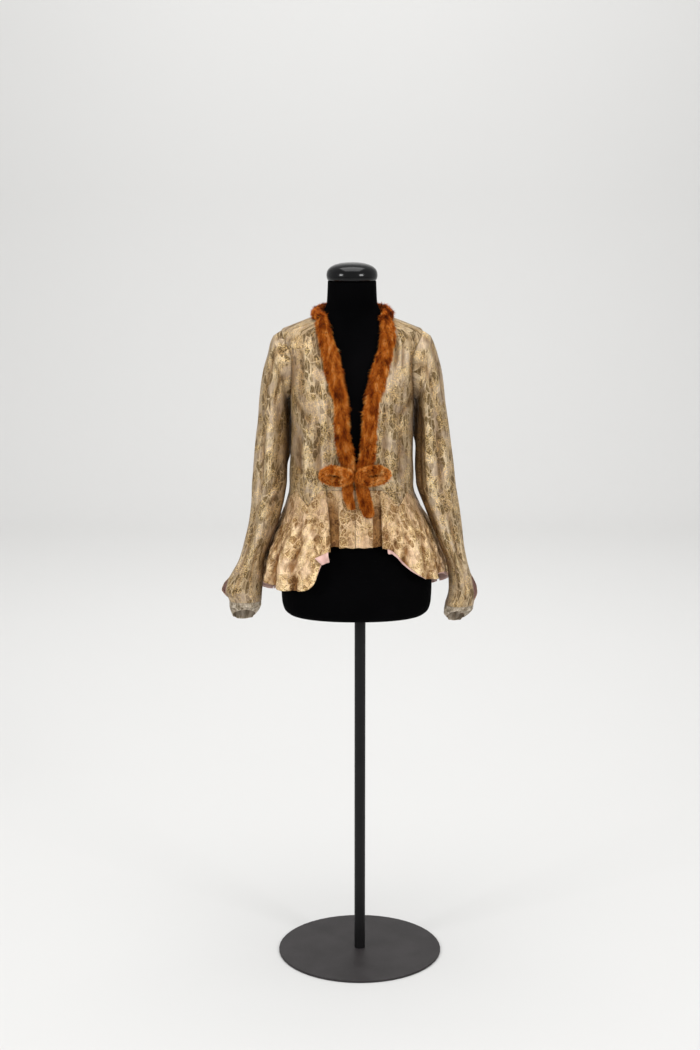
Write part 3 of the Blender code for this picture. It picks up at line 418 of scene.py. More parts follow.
BACK_CREASES = (
    (-0.100, 1.400, -0.060, 1.330, 0.0060, -0.0020, 0.004),
    (0.098, 1.398, 0.064, 1.325, 0.0060, -0.0020, -0.004),
    (-0.120, 1.290, -0.080, 1.215, 0.0060, -0.0024, 0.006),
    (0.118, 1.285, 0.078, 1.210, 0.0060, -0.0022, -0.006),
    (-0.052, 1.290, -0.046, 1.120, 0.0080, 0.0020, 0.003),
    (0.048, 1.300, 0.050, 1.130, 0.0080, -0.0020, 0.003),
    (-0.020, 1.240, -0.024, 1.080, 0.0060, -0.0016, -0.002),
    (0.018, 1.230, 0.016, 1.090, 0.0060, 0.0016, 0.002),
    (-0.086, 1.220, -0.090, 1.085, 0.0060, 0.0020, -0.003),
    (0.088, 1.230, 0.092, 1.080, 0.0060, 0.0020, 0.003),
    (-0.110, 1.140, -0.050, 1.122, 0.0040, -0.0016, 0.004),
    (0.104, 1.138, 0.046, 1.120, 0.0040, -0.0016, 0.004),
    (-0.090, 1.110, -0.030, 1.102, 0.0030, 0.0012, -0.003),
    (0.086, 1.112, 0.034, 1.100, 0.0030, 0.0012, 0.003),
    (-0.050, 1.425, 0.050, 1.426, 0.0050, -0.0012, 0.004),
)


def ease(angle, z):
    """Room between body and cloth: its columns blended by the squares of the angle's sine and cosine."""
    front, left, right, back = np.moveaxis(read_table(z, EASE_LEVELS), -1, 0)
    side = np.sin(np.radians(angle))
    ahead = np.cos(np.radians(angle))
    return side ** 2 * np.where(side < 0, left, right) + ahead ** 2 * np.where(ahead > 0, front, back)


def cloth(angle, z, out=0.0):
    """Outer side of the jacket: the body's skin moved out by the ease, the wall and a further amount."""
    return body_surface(angle, z, ease(angle, z) + WALL + out)


def form_angle(x, z):
    """Angle of the body's front at a sideways place: the superellipse solved for its other half."""
    level = read_table(z, FORM_LEVELS)
    power = level[..., 3]
    across = np.clip(np.abs(x) / level[..., 0], 0, 1)
    ahead = (1 - across ** power) ** (1 / power)
    return np.degrees(np.arctan2(across, ahead)) * np.sign(x)


def angle_at(x, z):
    """Angle where the cloth's front lies at x from the middle line, by eight corrections of a guess."""
    aim = x + 0 * z
    middle = read_table(z, FORM_LEVELS)[..., 4]
    for _ in range(8):
        angle = form_angle(aim, z)
        aim = aim + x - (cloth(angle, z)[..., 0] - middle)
    return form_angle(aim, z)


def waist(angle):
    """Height of the pointed seam: straight lines between the table's rows."""
    knots, left, right = np.array(WAIST_SEAM, float).T
    return np.where(angle < 0, np.interp(-angle, knots, left), np.interp(angle, knots, right))


def armhole_angle(z, depth_column):
    """Angle of the armhole's oval edge at a height, on the front half (column 1) or the back half (2)."""
    middle = (UNDERARM + SHOULDER_TIP) / 2
    half = (SHOULDER_TIP - UNDERARM) / 2
    y = ARMHOLE_HALF_DEPTH * np.sqrt(np.clip(1 - ((z - middle) / half) ** 2, 0, 1))
    level = read_table(z, FORM_LEVELS)
    part = y / level[..., depth_column]
    power = level[..., 3]
    turn = np.degrees(np.arctan2((1 - part ** power) ** (1 / power), part))
    return turn if depth_column == 1 else 180 - turn


def armhole_height(turn):
    """Height of the armhole's edge at a place round it: a cosine from the underarm to the shoulder."""
    return (UNDERARM + SHOULDER_TIP) / 2 - (SHOULDER_TIP - UNDERARM) / 2 * np.cos(turn)


def creases(across, up, rows):
    """Sum of soft ridges and troughs: a bell across each bowed line, faded at both of its ends."""
    rows = np.array(rows, float)
    from_x, from_z, to_x, to_z, width, rise, bend = rows.T
    way_x = to_x - from_x
    way_z = to_z - from_z
    length = np.hypot(way_x, way_z)
    from_here_x = across[..., None] - from_x
    from_here_z = up[..., None] - from_z
    along = (from_here_x * way_x + from_here_z * way_z) / length ** 2
    aside = (from_here_x * way_z - from_here_z * way_x) / length
    aside = aside - bend * 4 * np.clip(along, 0, 1) * (1 - np.clip(along, 0, 1))
    fade = ramp(along, -0.05, 0.3) * ramp(1.05 - along, 0, 0.35)
    return np.sum(rise * np.exp(-(aside / width) ** 2) * fade, axis=-1)


def ripples(across, up, amount, tall=0.05, wide=0.016):
    """Small unevenness of soft cloth: five crossed sine waves of unlike length and direction."""
    a = across / wide
    b = up / tall
    return amount * (
        np.sin(2.1 * a + 1.3 * np.sin(1.7 * b))
        + 0.8 * np.sin(3.3 * a - 2.9 * b + 1.1)
        + 0.6 * np.sin(1.2 * a + 6.1 * b + 2.0 * np.sin(0.9 * a))
        + 0.5 * np.sin(5.2 * a + 3.7 * b + 0.4)
        + 0.4 * np.sin(7.9 * a - 8.3 * b + 2.2)
    ) / 2.2


def grid_normals(grid, inside):
    """Unit normals of a grid: the cross product of its differences, turned away from the inside points."""
    normal = np.cross(np.gradient(grid, axis=1), np.gradient(grid, axis=0))
    normal /= np.linalg.norm(normal, axis=-1, keepdims=True) + 1e-12
    return normal * np.sign(np.sum(normal * (grid - inside)))


def body_axis(grid):
    """The body's upright axis at each point's height."""
    return grid * np.array([0, 0, 1]) + np.array([MIDDLE_X, 0, 0])


def cloth_piece(name, grid, uv, inside, finishes, painted_shading):
    """Cloth from a grid of its outer points: coincident points are joined and a wall grows inwards.

    The attribute of painted shading runs from -1 deep in the troughs to 1 on the ridges.
    """
    rows, columns = grid.shape[:2]
    corner = np.arange(rows * columns).reshape(rows, columns)
    quads = np.stack([corner[:-1, :-1], corner[:-1, 1:], corner[1:, 1:], corner[1:, :-1]], axis=-1)
    quads = quads.reshape(-1, 4)
    raw = np.cross(np.gradient(grid, axis=1), np.gradient(grid, axis=0))
    if np.sum(raw * (grid - inside)) < 0:
        quads = quads[:, ::-1]
    points = grid.reshape(-1, 3)
    first, place = np.unique(np.round(points, 6), axis=0, return_index=True, return_inverse=True)[1:]
    mesh = bpy.data.meshes.new(name)
    mesh.from_pydata(points[first].tolist(), [], place.reshape(-1)[quads].tolist())
    layer = mesh.uv_layers.new(name="cut")
    layer.data.foreach_set("uv", uv.reshape(-1, 2)[quads.reshape(-1)].astype(np.float32).ravel())
    depth = mesh.attributes.new("painted_shading", "FLOAT", "POINT")
    depth.data.foreach_set("value", np.clip(painted_shading, -1, 1).ravel()[first].astype(np.float32))
    mesh.shade_smooth()
    for finish in finishes:
        mesh.materials.append(finish)
    piece = put_in_scene(name, mesh)
    thickness = piece.modifiers.new("Wall", "SOLIDIFY")
    thickness.thickness = CLOTH_WALL
    thickness.offset = -1
    thickness.material_offset = len(finishes) - 1
    thickness.material_offset_rim = 0
    return piece


def brocade(name, pale, ground, mist, dark, gold, trough_shade, leaf, fleck, curl, gilt, crumple):
    """Woven metallic brocade on the cloth's own UV map, in metres.

    Stretched cells of three sizes are the woven figure: large leaves with a pale outline, and in them dark
    flecks parted by pale thread. Gold dots gather in patches. The cloth's painted shading darkens its
    troughs as painted shade and lightens its ridges as a painted highlight.
    """
    finish, shader = new_finish(name, Specular_IOR_Level=0.3, Anisotropic=0.3)
    place = wire(finish, "TexCoord").outputs["UV"]

    def noise(vector, scale, detail, roughness=0.5):
        return wire(finish, "TexNoise", {"noise_dimensions": "2D"}, {
            "Vector": vector, "Scale": scale, "Detail": detail, "Roughness": roughness})

    def vector_of(operation, a, b):
        return wire(finish, "VectorMath", {"operation": operation}, {0: a, 1: b}).outputs[0]

    def math_of(operation, a, b):
        return wire(finish, "Math", {"operation": operation}, {0: a, 1: b}).outputs[0]

    def times(a, b):
        return math_of("MULTIPLY", a, b)

    def plus(a, b):
        return math_of("ADD", a, b)

    def less(a, b):
        return math_of("SUBTRACT", a, b)

    def swayed(vector, scale, across, up):
        moved = vector_of("SUBTRACT", noise(vector, scale, 2.0).outputs["Color"], (0.5, 0.5, 0.5))
        return vector_of("ADD", vector, vector_of("MULTIPLY", moved, (across, up, 0)))

    def cells(vector, width, height, feature):
        stretched = vector_of("MULTIPLY", vector, (1 / width, 1 / height, 0))
        return wire(finish, "TexVoronoi", {"feature": feature, "voronoi_dimensions": "2D"}, {
            "Vector": stretched, "Scale": 1.0, "Randomness": 1.0})

    def between(value, low, high):
        return wire(finish, "MapRange", {"interpolation_type": "SMOOTHSTEP"}, {
            "Value": value, "From Min": low, "From Max": high}).outputs["Result"]

    def blend(share, a, b):
        colour_a = a if isinstance(a, bpy.types.NodeSocket) else (*a, 1)
        colour_b = b if isinstance(b, bpy.types.NodeSocket) else (*b, 1)
        return wire(finish, "Mix", {"data_type": "RGBA"}, {0: share, 6: colour_a, 7: colour_b}).outputs[2]

    bent = swayed(place, 34.0, 0.012 * curl, 0.014 * curl)
    curled = swayed(bent, 160.0, 0.0030 * curl, 0.0045 * curl)
    kind = wire(finish, "SeparateColor", inputs={"Color": cells(bent, *leaf, "F1").outputs["Color"]})
    inside_leaf = between(cells(bent, *leaf, "DISTANCE_TO_EDGE").outputs["Distance"], 0.025, 0.085)
    dark_leaf = between(kind.outputs[0], 0.53, 0.56)
    gold_leaf = between(kind.outputs[1], 0.70, 0.76)
    busy_leaf = between(kind.outputs[2], 0.50, 0.60)
    wide = cells(curled, *fleck, "F1")
    wide_kind = wire(finish, "SeparateColor", inputs={"Color": wide.outputs["Color"]})
    wide_edge = cells(curled, *fleck, "DISTANCE_TO_EDGE").outputs["Distance"]
    wide_dark = times(between(wide_edge, 0.05, 0.16), between(wide_kind.outputs[0], 0.50, 0.58))
    fine = cells(curled, fleck[0] * 0.62, fleck[1] * 0.70, "F1")
    fine_kind = wire(finish, "SeparateColor", inputs={"Color": fine.outputs["Color"]})
    fine_edge = cells(curled, fleck[0] * 0.62, fleck[1] * 0.70, "DISTANCE_TO_EDGE").outputs["Distance"]
    fine_dark = times(between(fine_edge, 0.08, 0.22), between(fine_kind.outputs[0], 0.45, 0.60))
    flecks = wire(finish, "Mix", {"data_type": "FLOAT"}, {0: busy_leaf, 2: wide_dark, 3: fine_dark})
    flecks = flecks.outputs[0]
    plain = between(noise(place, 20.0, 2.0).outputs["Fac"], 0.50, 0.60)
    flecks = times(flecks, less(0.80, times(plain, 0.65)))
    veins = plus(0.35, times(between(wide_edge, 0.01, 0.07), 0.65))
    veins = times(veins, less(1.0, times(plain, 0.45)))
    figure = times(math_of("MAXIMUM", flecks, times(dark_leaf, veins)), inside_leaf)
    worn = between(noise(place, 120.0, 3.0).outputs["Fac"], 0.26, 0.50)
    figure = times(figure, plus(0.55, times(worn, 0.45)))

    cloud = between(noise(bent, 26.0, 4.0, 0.6).outputs["Fac"], 0.36, 0.64)
    outline = times(less(1.0, inside_leaf), 0.6)
    cloth_colour = blend(times(plain, 0.7), blend(cloud, pale, ground), mist)
    colour = blend(figure, blend(outline, cloth_colour, pale), dark)
    dots = cells(place, 0.0019, 0.0021, "F1")
    dot_kind = wire(finish, "SeparateColor", inputs={"Color": dots.outputs["Color"]})
    dot = less(1.0, between(dots.outputs["Distance"], 0.25, 0.55))
    dot = times(dot, between(dot_kind.outputs[0], 0.40, 0.55))
    patch = between(noise(bent, 30.0, 3.0).outputs["Fac"], gilt[0], gilt[1])
    patch = math_of("MAXIMUM", times(gold_leaf, 0.7), patch)
    dot = times(dot, plus(0.08, times(patch, 0.85)))
    colour = blend(dot, colour, gold)
    streak_place = vector_of("MULTIPLY", curled, (1.0, 0.16, 0))
    streak = map_range(finish, noise(streak_place, 420.0, 3.0, 0.6).outputs["Fac"], 0.3, 0.7, 0.80, 1.20)
    glint = map_range(finish, noise(place, 800.0, 2.0).outputs["Fac"], 0.3, 0.7, 0.88, 1.14)
    # Painted shade and highlight: troughs of the cloth pull the colour towards the given shade colour, and
    # ridges lighten it by about a tenth.
    depth = between(wire(finish, "Attribute", {"attribute_name": "painted_shading"}).outputs["Fac"], -1.0, 0.7)
    colour = vector_of("MULTIPLY", colour, blend(depth, trough_shade, (1.12, 1.12, 1.10)))
    colour = vector_of("MULTIPLY", colour, times(streak, glint))
    finish.node_tree.links.new(colour, shader.inputs["Base Color"])
    finish.node_tree.links.new(map_range(finish, figure, 0.0, 1.0, 0.40, 0.62), shader.inputs["Roughness"])
    shine = map_range(finish, figure, 0.0, 1.0, 0.45, 0.12)
    finish.node_tree.links.new(plus(shine, times(dot, 0.3)), shader.inputs["Metallic"])

    folds = noise(bent, 80.0, 4.0, 0.55)
    under = raise_surface(finish, shader, folds.outputs["Fac"], crumple)
    weave = wire(finish, "TexWave", {"wave_type": "BANDS", "bands_direction": "Y"}, {
        "Vector": place, "Scale": 520.0, "Distortion": 1.5, "Detail": 1.0, "Detail Scale": 3.0})
    relief = less(times(weave.outputs["Fac"], 0.2), figure)
    relief = plus(relief, times(dot, 0.6))
    raise_surface(finish, shader, relief, 0.00045, 0.8, under)
    return finish


taupe_brocade = brocade(
    "taupe_brocade", pale=(0.560, 0.440, 0.290), ground=(0.390, 0.278, 0.155), mist=(0.480, 0.375, 0.290),
    dark=(0.125, 0.074, 0.022), gold=(0.95, 0.68, 0.32), trough_shade=(0.52, 0.42, 0.31),
    leaf=(0.0085, 0.0250), fleck=(0.0030, 0.0100), curl=0.6, gilt=(0.48, 0.60), crumple=0.0020)
silver_side = brocade(
    "silver_wrong_side", pale=(0.64, 0.56, 0.460), ground=(0.47, 0.400, 0.310), mist=(0.56, 0.49, 0.40),
    dark=(0.23, 0.185, 0.125), gold=(0.52, 0.43, 0.30), trough_shade=(0.45, 0.38, 0.30),
    leaf=(0.0095, 0.0260), fleck=(0.0032, 0.0110), curl=0.6, gilt=(0.60, 0.80), crumple=0.0030)

bodice_lower = np.linspace(1.040, UNDERARM, 92)[:-1]
bodice_armhole = armhole_height(np.linspace(0, math.pi, 61))
bodice_shoulder = np.linspace(SHOULDER_TIP, NECK_EDGE, 22)[1:]
bodice_level = np.concatenate([bodice_lower, bodice_armhole, bodice_shoulder])[:, None]
STRETCHED_BELOW = 1.12
BRIDGE_RISE = 0.0030
BRIDGE_WIDTH = 0.016
BRIDGE_ENDS = 0.008
SEAM_DEPTH = 0.0007
SEAM_WIDTH = 0.0035
SHADE_WIDTH = 0.014
SOFT_RISE = 0.0005
BACK_SHIFT = 0.3
BACK_SEAM_DEPTH = 0.0008
BACK_SEAM_WIDTH = 0.0016
BODICE_RADIUS = 0.125


def bodice_heights(angle, level):
    """Heights of a panel's points: below a set level they are stretched down to the waist seam."""
    lowest = level[0, 0]
    seam = waist(angle[:1]) + SEAM_GAP
    part = np.clip((level - lowest) / (STRETCHED_BELOW - lowest), 0, 1)
    return np.where(level < STRETCHED_BELOW, seam + part * (STRETCHED_BELOW - seam), level + 0 * angle)


def run_length(grid):
    """Distance along each column of a grid from its first point."""
    step = np.linalg.norm(np.diff(grid, axis=0), axis=-1)
    return np.concatenate([np.zeros((1, grid.shape[1])), np.cumsum(step, axis=0)])


def seam_dip(to_edge, z, to_waist):
    """Shallow groove beside a sewn edge, from distances to the edges, and weak at the sleeve's full head."""
    full_head = 1 - 0.8 * ramp(z, 1.30, 1.36)
    beside_waist = np.exp(-(to_waist / SEAM_WIDTH) ** 2)
    return -SEAM_DEPTH * (np.exp(-(to_edge / SEAM_WIDTH) ** 2) * full_head + 0.4 * beside_waist)


def shoulder_bridge(to_edge, z):
    """Height of the cloth where it runs straight from the shoulder into the sleeve, over the form's end."""
    return BRIDGE_RISE * np.exp(-(to_edge / BRIDGE_WIDTH) ** 2) * ramp(z, 1.370, 1.405)


def armhole_shade(to_edge, z):
    """Painted shade where the sleeve lies against the bodice, fading over 14 mm from the seam."""
    return 0.9 * np.exp(-(to_edge / SHADE_WIDTH) ** 2) * ramp(SHOULDER_TIP - 0.02 - z, 0, 0.05)


def bodice_panel(name, angle, crease_rows, is_back=False):
    """A panel from its points' angles: creases, soft waves, grooves at the seams and the shoulder's bridge.

    The back also has a faint seam along its middle.
    """
    z = bodice_heights(angle, bodice_level)
    flat = cloth(angle, z)
    x = flat[..., 0] - MIDDLE_X
    walked = run_length(flat.swapaxes(0, 1)).T
    to_edge = walked[:, -1:] - walked
    turned = angle
    if is_back:
        to_edge = np.minimum(walked, to_edge)
        turned = np.where(angle < 0, angle + 360, angle)
    soft = ripples(x + BACK_SHIFT * is_back, z, SOFT_RISE) * ramp(to_edge, 0, 0.02)
    rise = creases(x, z, crease_rows) * ramp(to_edge, 0, 0.006) + seam_dip(to_edge, z, z - waist(angle))
    rise -= BACK_SEAM_DEPTH * is_back * np.exp(-(x / BACK_SEAM_WIDTH) ** 2)
    # Painted shading of the panel: its creases and soft waves darken in their troughs and lighten on their
    # ridges, and painted shade lies along the armhole.
    painted_shading = rise / CREASE_DEPTH + 0.25 * soft / SOFT_RISE - armhole_shade(to_edge, z)
    bridged = ramp(SHOULDER_TIP + BRIDGE_ENDS - bodice_level, 0, BRIDGE_ENDS)
    grid = cloth(angle, z, rise + soft + shoulder_bridge(to_edge, z) * bridged)
    uv = np.stack([np.radians(turned) * BODICE_RADIUS + 0.5 * is_back, z[:1] + run_length(flat)], axis=-1)
    piece = cloth_piece(f"{name}_cloth", grid, uv, body_axis(grid), [taupe_brocade], painted_shading)
    place_piece(piece, "lame_taupe", name)


in_armhole = (bodice_level > UNDERARM + 1e-6) & (bodice_level < SHOULDER_TIP - 1e-6)
edge_x = read_table(bodice_level, FRONT_EDGES)
seam_angle = np.degrees(SEAM_GAP / read_table(bodice_level, FORM_LEVELS)[..., 1])
front_outer = np.where(in_armhole, armhole_angle(bodice_level, 1), 90) - seam_angle
across = np.linspace(0, 1, 84)[None, :]
for side, column, name in ((-1, 0, "left"), (1, 1, "right")):
    inner = angle_at(edge_x[..., column], bodice_level)
    bodice_panel(f"bodice_front_{name}", inner + across * (side * front_outer - inner), FRONT_CREASES[side])

back_outer = np.where(in_armhole, armhole_angle(bodice_level, 2), 90) + seam_angle
angle = back_outer + np.linspace(0, 1, 112)[None, :] * (360 - 2 * back_outer)
bodice_panel("bodice_back", np.where(angle > 180, angle - 360, angle), BACK_CREASES, is_back=True)


# Sleeves: one piece each of the same brocade, set into the armhole with a little fullness at its top.
# They hang empty in long folds, wider below the elbow, and each has a slit with a pink lining at the wrist.
# Columns: outer x, outer z, inner x, inner z, half depth, middle y, slit
SLEEVES = {
    "left": (
        (0.1690, 1.4080, 0.1412, 1.2700, 0.0500, 0.000, 0.000),
        (0.1760, 1.3930, 0.1416, 1.2670, 0.0520, 0.000, 0.000),
        (0.1825, 1.3660, 0.1420, 1.2630, 0.0530, 0.000, 0.000),
        (0.1905, 1.3400, 0.1420, 1.2570, 0.0530, 0.000, 0.000),
        (0.1956, 1.3140, 0.1415, 1.2490, 0.0520, -0.001, 0.000),
        (0.2010, 1.2710, 0.1410, 1.2330, 0.0510, -0.002, 0.000),
        (0.2044, 1.2270, 0.1405, 1.2070, 0.0500, -0.003, 0.000),
        (0.2100, 1.1830, 0.1410, 1.1740, 0.0490, -0.004, 0.000),
        (0.2139, 1.1400, 0.1420, 1.1360, 0.0480, -0.005, 0.000),
        (0.2176, 1.0960, 0.1410, 1.0940, 0.0470, -0.007, 0.000),
        (0.2220, 1.0510, 0.1500, 1.0530, 0.0460, -0.009, 0.000),
        (0.2298, 1.0070, 0.1630, 1.0110, 0.0440, -0.012, 0.000),
        (0.2420, 0.9620, 0.1815, 0.9680, 0.0420, -0.015, 0.000),
        (0.2562, 0.9180, 0.2000, 0.9200, 0.0390, -0.018, 0.000),
        (0.2690, 0.8960, 0.2030, 0.8980, 0.0375, -0.020, 0.000),
        (0.2790, 0.8800, 0.2045, 0.8820, 0.0365, -0.021, 0.000),
        (0.2870, 0.8650, 0.2058, 0.8660, 0.0355, -0.022, 0.006),
        (0.2905, 0.8500, 0.2070, 0.8500, 0.0345, -0.023, 0.009),
        (0.2865, 0.8410, 0.2078, 0.8400, 0.0340, -0.024, 0.007),
        (0.2815, 0.8330, 0.2086, 0.8330, 0.0337, -0.025, 0.000),
        (0.2800, 0.8290, 0.2090, 0.8290, 0.0335, -0.025, 0.000),
    ),
    "right": (
        (0.1690, 1.4080, 0.1416, 1.2700, 0.0500, 0.000, 0.000),
        (0.1764, 1.3930, 0.1420, 1.2670, 0.0520, 0.000, 0.000),
        (0.1855, 1.3660, 0.1422, 1.2630, 0.0530, 0.000, 0.000),
        (0.1930, 1.3380, 0.1422, 1.2570, 0.0530, 0.000, 0.000),
        (0.1978, 1.3100, 0.1418, 1.2490, 0.0520, 0.001, 0.000),
        (0.2026, 1.2660, 0.1412, 1.2330, 0.0510, 0.001, 0.000),
        (0.2095, 1.2220, 0.1408, 1.2050, 0.0500, 0.001, 0.000),
        (0.2154, 1.1780, 0.1385, 1.1700, 0.0500, 0.000, 0.000),
        (0.2214, 1.1340, 0.1380, 1.1300, 0.0500, -0.002, 0.000),
        (0.2262, 1.0900, 0.1390, 1.0900, 0.0490, -0.004, 0.000),
        (0.2310, 1.0450, 0.1500, 1.0500, 0.0470, -0.007, 0.000),
        (0.2352, 1.0000, 0.1650, 1.0060, 0.0440, -0.010, 0.000),
        (0.2385, 0.9550, 0.1815, 0.9600, 0.0410, -0.013, 0.000),
        (0.2460, 0.9100, 0.1995, 0.9130, 0.0380, -0.016, 0.000),
        (0.2510, 0.8900, 0.2015, 0.8920, 0.0370, -0.018, 0.000),
        (0.2555, 0.8740, 0.2025, 0.8760, 0.0360, -0.019, 0.004),
        (0.2590, 0.8580, 0.2025, 0.8600, 0.0350, -0.020, 0.008),
        (0.2608, 0.8440, 0.2015, 0.8450, 0.0345, -0.021, 0.008),
        (0.2600, 0.8340, 0.1990, 0.8340, 0.0340, -0.022, 0.005),
        (0.2588, 0.8250, 0.1955, 0.8245, 0.0337, -0.023, 0.000),
        (0.2580, 0.8200, 0.1945, 0.8190, 0.0335, -0.023, 0.000),
    ),
}
# Columns: angle, width, rise, top, bottom
SLEEVE_FOLDS = {
    "left": (
        (55, 16, -0.005, 1.30, 0.98),
        (95, 18, 0.004, 1.28, 0.90),
        (128, 14, -0.003, 1.25, 0.95),
        (250, 18, -0.005, 1.28, 0.95),
        (300, 16, 0.004, 1.25, 1.00),
    ),
    "right": (
        (32, 13, -0.009, 1.30, 0.96),
        (64, 14, 0.006, 1.33, 0.92),
        (105, 16, -0.003, 1.28, 0.95),
        (240, 18, -0.005, 1.28, 0.95),
        (290, 16, 0.004, 1.25, 1.00),
    ),
}
SLEEVE_CREASES = {
    "left": (
        (0.060, 1.380, 0.070, 1.250, 0.0060, -0.0028, 0.002),
        (0.085, 1.390, 0.090, 1.290, 0.0050, 0.0020, 0.002),
        (0.100, 1.370, 0.105, 1.240, 0.0060, -0.0024, -0.002),
        (0.120, 1.360, 0.118, 1.260, 0.0050, 0.0018, 0.003),
        (0.074, 1.240, 0.080, 1.080, 0.0060, 0.0022, 0.003),
        (0.096, 1.230, 0.092, 1.060, 0.0050, -0.0024, -0.002),
        (0.118, 1.200, 0.110, 1.020, 0.0060, 0.0020, 0.003),
        (0.044, 1.110, 0.076, 1.078, 0.0040, -0.0024, 0.003),
        (0.040, 1.088, 0.080, 1.060, 0.0045, 0.0022, 0.003),
        (0.038, 1.066, 0.074, 1.046, 0.0035, -0.0026, 0.002),
        (0.050, 1.030, 0.090, 1.010, 0.0040, -0.0020, 0.003),
        (0.086, 1.040, 0.082, 0.900, 0.0060, 0.0024, 0.003),
        (0.104, 1.010, 0.108, 0.880, 0.0055, -0.0026, -0.003),
        (0.066, 0.980, 0.062, 0.850, 0.0060, -0.0022, 0.002),
        (0.122, 0.960, 0.130, 0.860, 0.0050, 0.0022, 0.002),
        (0.092, 0.900, 0.096, 0.835, 0.0050, -0.0020, 0.002),
        (0.230, 1.300, 0.236, 1.100, 0.0070, -0.0024, 0.003),
        (0.260, 1.260, 0.250, 1.000, 0.0070, 0.0024, -0.003),
        (0.215, 1.080, 0.275, 1.050, 0.0050, -0.0024, 0.004),
        (0.220, 1.040, 0.270, 1.016, 0.0045, 0.0020, 0.003),
    ),
    "right": (
        (0.058, 1.385, 0.066, 1.270, 0.0050, 0.0026, 0.002),
        (0.078, 1.390, 0.086, 1.260, 0.0060, -0.0026, 0.003),
        (0.100, 1.380, 0.104, 1.250, 0.0050, 0.0022, -0.002),
        (0.122, 1.360, 0.120, 1.240, 0.0060, -0.0020, 0.002),
        (0.046, 1.240, 0.050, 1.060, 0.0050, -0.0032, 0.002),
        (0.064, 1.250, 0.070, 1.050, 0.0060, 0.0030, 0.002),
        (0.086, 1.230, 0.084, 1.060, 0.0050, -0.0024, -0.002),
        (0.104, 1.200, 0.108, 1.040, 0.0060, 0.0024, 0.003),
        (0.040, 1.090, 0.074, 1.070, 0.0040, -0.0022, 0.003),
        (0.042, 1.060, 0.070, 1.036, 0.0040, 0.0024, 0.003),
        (0.090, 1.040, 0.096, 0.890, 0.0060, -0.0026, 0.002),
        (0.074, 1.020, 0.072, 0.900, 0.0050, 0.0024, -0.002),
        (0.112, 0.990, 0.120, 0.860, 0.0060, 0.0022, 0.003),
        (0.058, 0.960, 0.060, 0.840, 0.0050, -0.0024, 0.002),
        (0.090, 0.880, 0.088, 0.826, 0.0040, -0.0020, 0.002),
        (0.226, 1.310, 0.232, 1.120, 0.0070, -0.0024, 0.003),
        (0.256, 1.270, 0.250, 1.010, 0.0070, 0.0024, -0.003),
        (0.212, 1.090, 0.270, 1.062, 0.0050, -0.0024, 0.004),
        (0.220, 1.044, 0.266, 1.020, 0.0045, 0.0020, 0.003),
    ),
}
SLEEVE_ROUND = 0.30
UNDER_EDGE = 0.0008
FOLD_DEPTH = 0.008
HEAD_RISE = 0.0008
GRAIN_STRETCH = 1.05
HEAD_SPREAD = 0.25
SLIT_FRONT_OUT = -0.35
SLIT_BACK_OUT = 0.75
LEANS_AT = 322
LEANS_IN = 0.013
LEANS_BELOW = {"left": (1.120, 1.150), "right": (1.165, 1.200)}

pink_satin, satin_shader, satin_place, satin_cloud = clouded_finish(
    "pink_satin", "UV", 40.0, 4.0,
    ((0.3, (0.62, 0.36, 0.31)), (0.55, (0.78, 0.50, 0.44)), (0.8, (0.86, 0.60, 0.54))),
    Roughness=0.42, Sheen_Weight=0.15, Anisotropic=0.4)
satin_under = raise_surface(pink_satin, satin_shader, satin_cloud, 0.0030)
satin_twill = wire(pink_satin, "TexWave", {"wave_type": "BANDS", "bands_direction": "DIAGONAL"}, {
    "Vector": satin_place, "Scale": 600.0, "Distortion": 0.5})
raise_surface(pink_satin, satin_shader, satin_twill.outputs["Fac"], 0.00015, 0.5, satin_under)


def long_folds(turn, height, fold_rows):
    """Rise of the long folds: bells round the sleeve that fade over 60 mm at their tops and bottoms."""
    return sum(
        rise * np.exp(-((np.degrees(turn) - angle) / width) ** 2)
        * ramp(height, bottom, bottom + 0.06) * ramp(top - height, 0, 0.06)
        for angle, width, rise, top, bottom in fold_rows)


def sleeve_rings(side, rows, turn, fold_rows):
    """Rings of a sleeve: ovals from an inner to an outer point, with bells round them for the long folds.

    Each ring starts and ends at its outer point, where the slit moves its front and its back apart and the
    back out, so that its lining shows.
    """
    outer_x, outer_z, inner_x, inner_z, half_depth, middle_y, slit = (column[:, None] for column in rows.T)
    height = (outer_z + inner_z) / 2
    reach = 1 + 0 * turn * height + long_folds(turn, height, fold_rows) / half_depth
    across = -np.cos(turn) * reach
    x = (outer_x + inner_x) / 2 + across * (outer_x - inner_x) / 2
    z = height + across * (outer_z - inner_z) / 2
    part = slit * np.clip(-np.cos(turn), 0, 1) ** 6
    first_half = np.arange(turn.size) < turn.size / 2
    y = middle_y - half_depth * np.sin(turn) * reach - np.where(first_half, part, -part)
    x = x + part * np.where(first_half, SLIT_FRONT_OUT, SLIT_BACK_OUT)
    middle_x = read_table(outer_z, FORM_LEVELS)[..., 4]
    return np.stack([side * x + middle_x, y, z], axis=-1)


def tube_normals(grid):
    """Middles of a tube's rings, and its outward normals with the two ends of each ring made the same."""
    centre = grid.mean(axis=1, keepdims=True)
    normal = grid_normals(grid, centre)
    normal[:, 0] = normal[:, -1] = (normal[:, 0] + normal[:, -1]) / 2
    return centre, normal


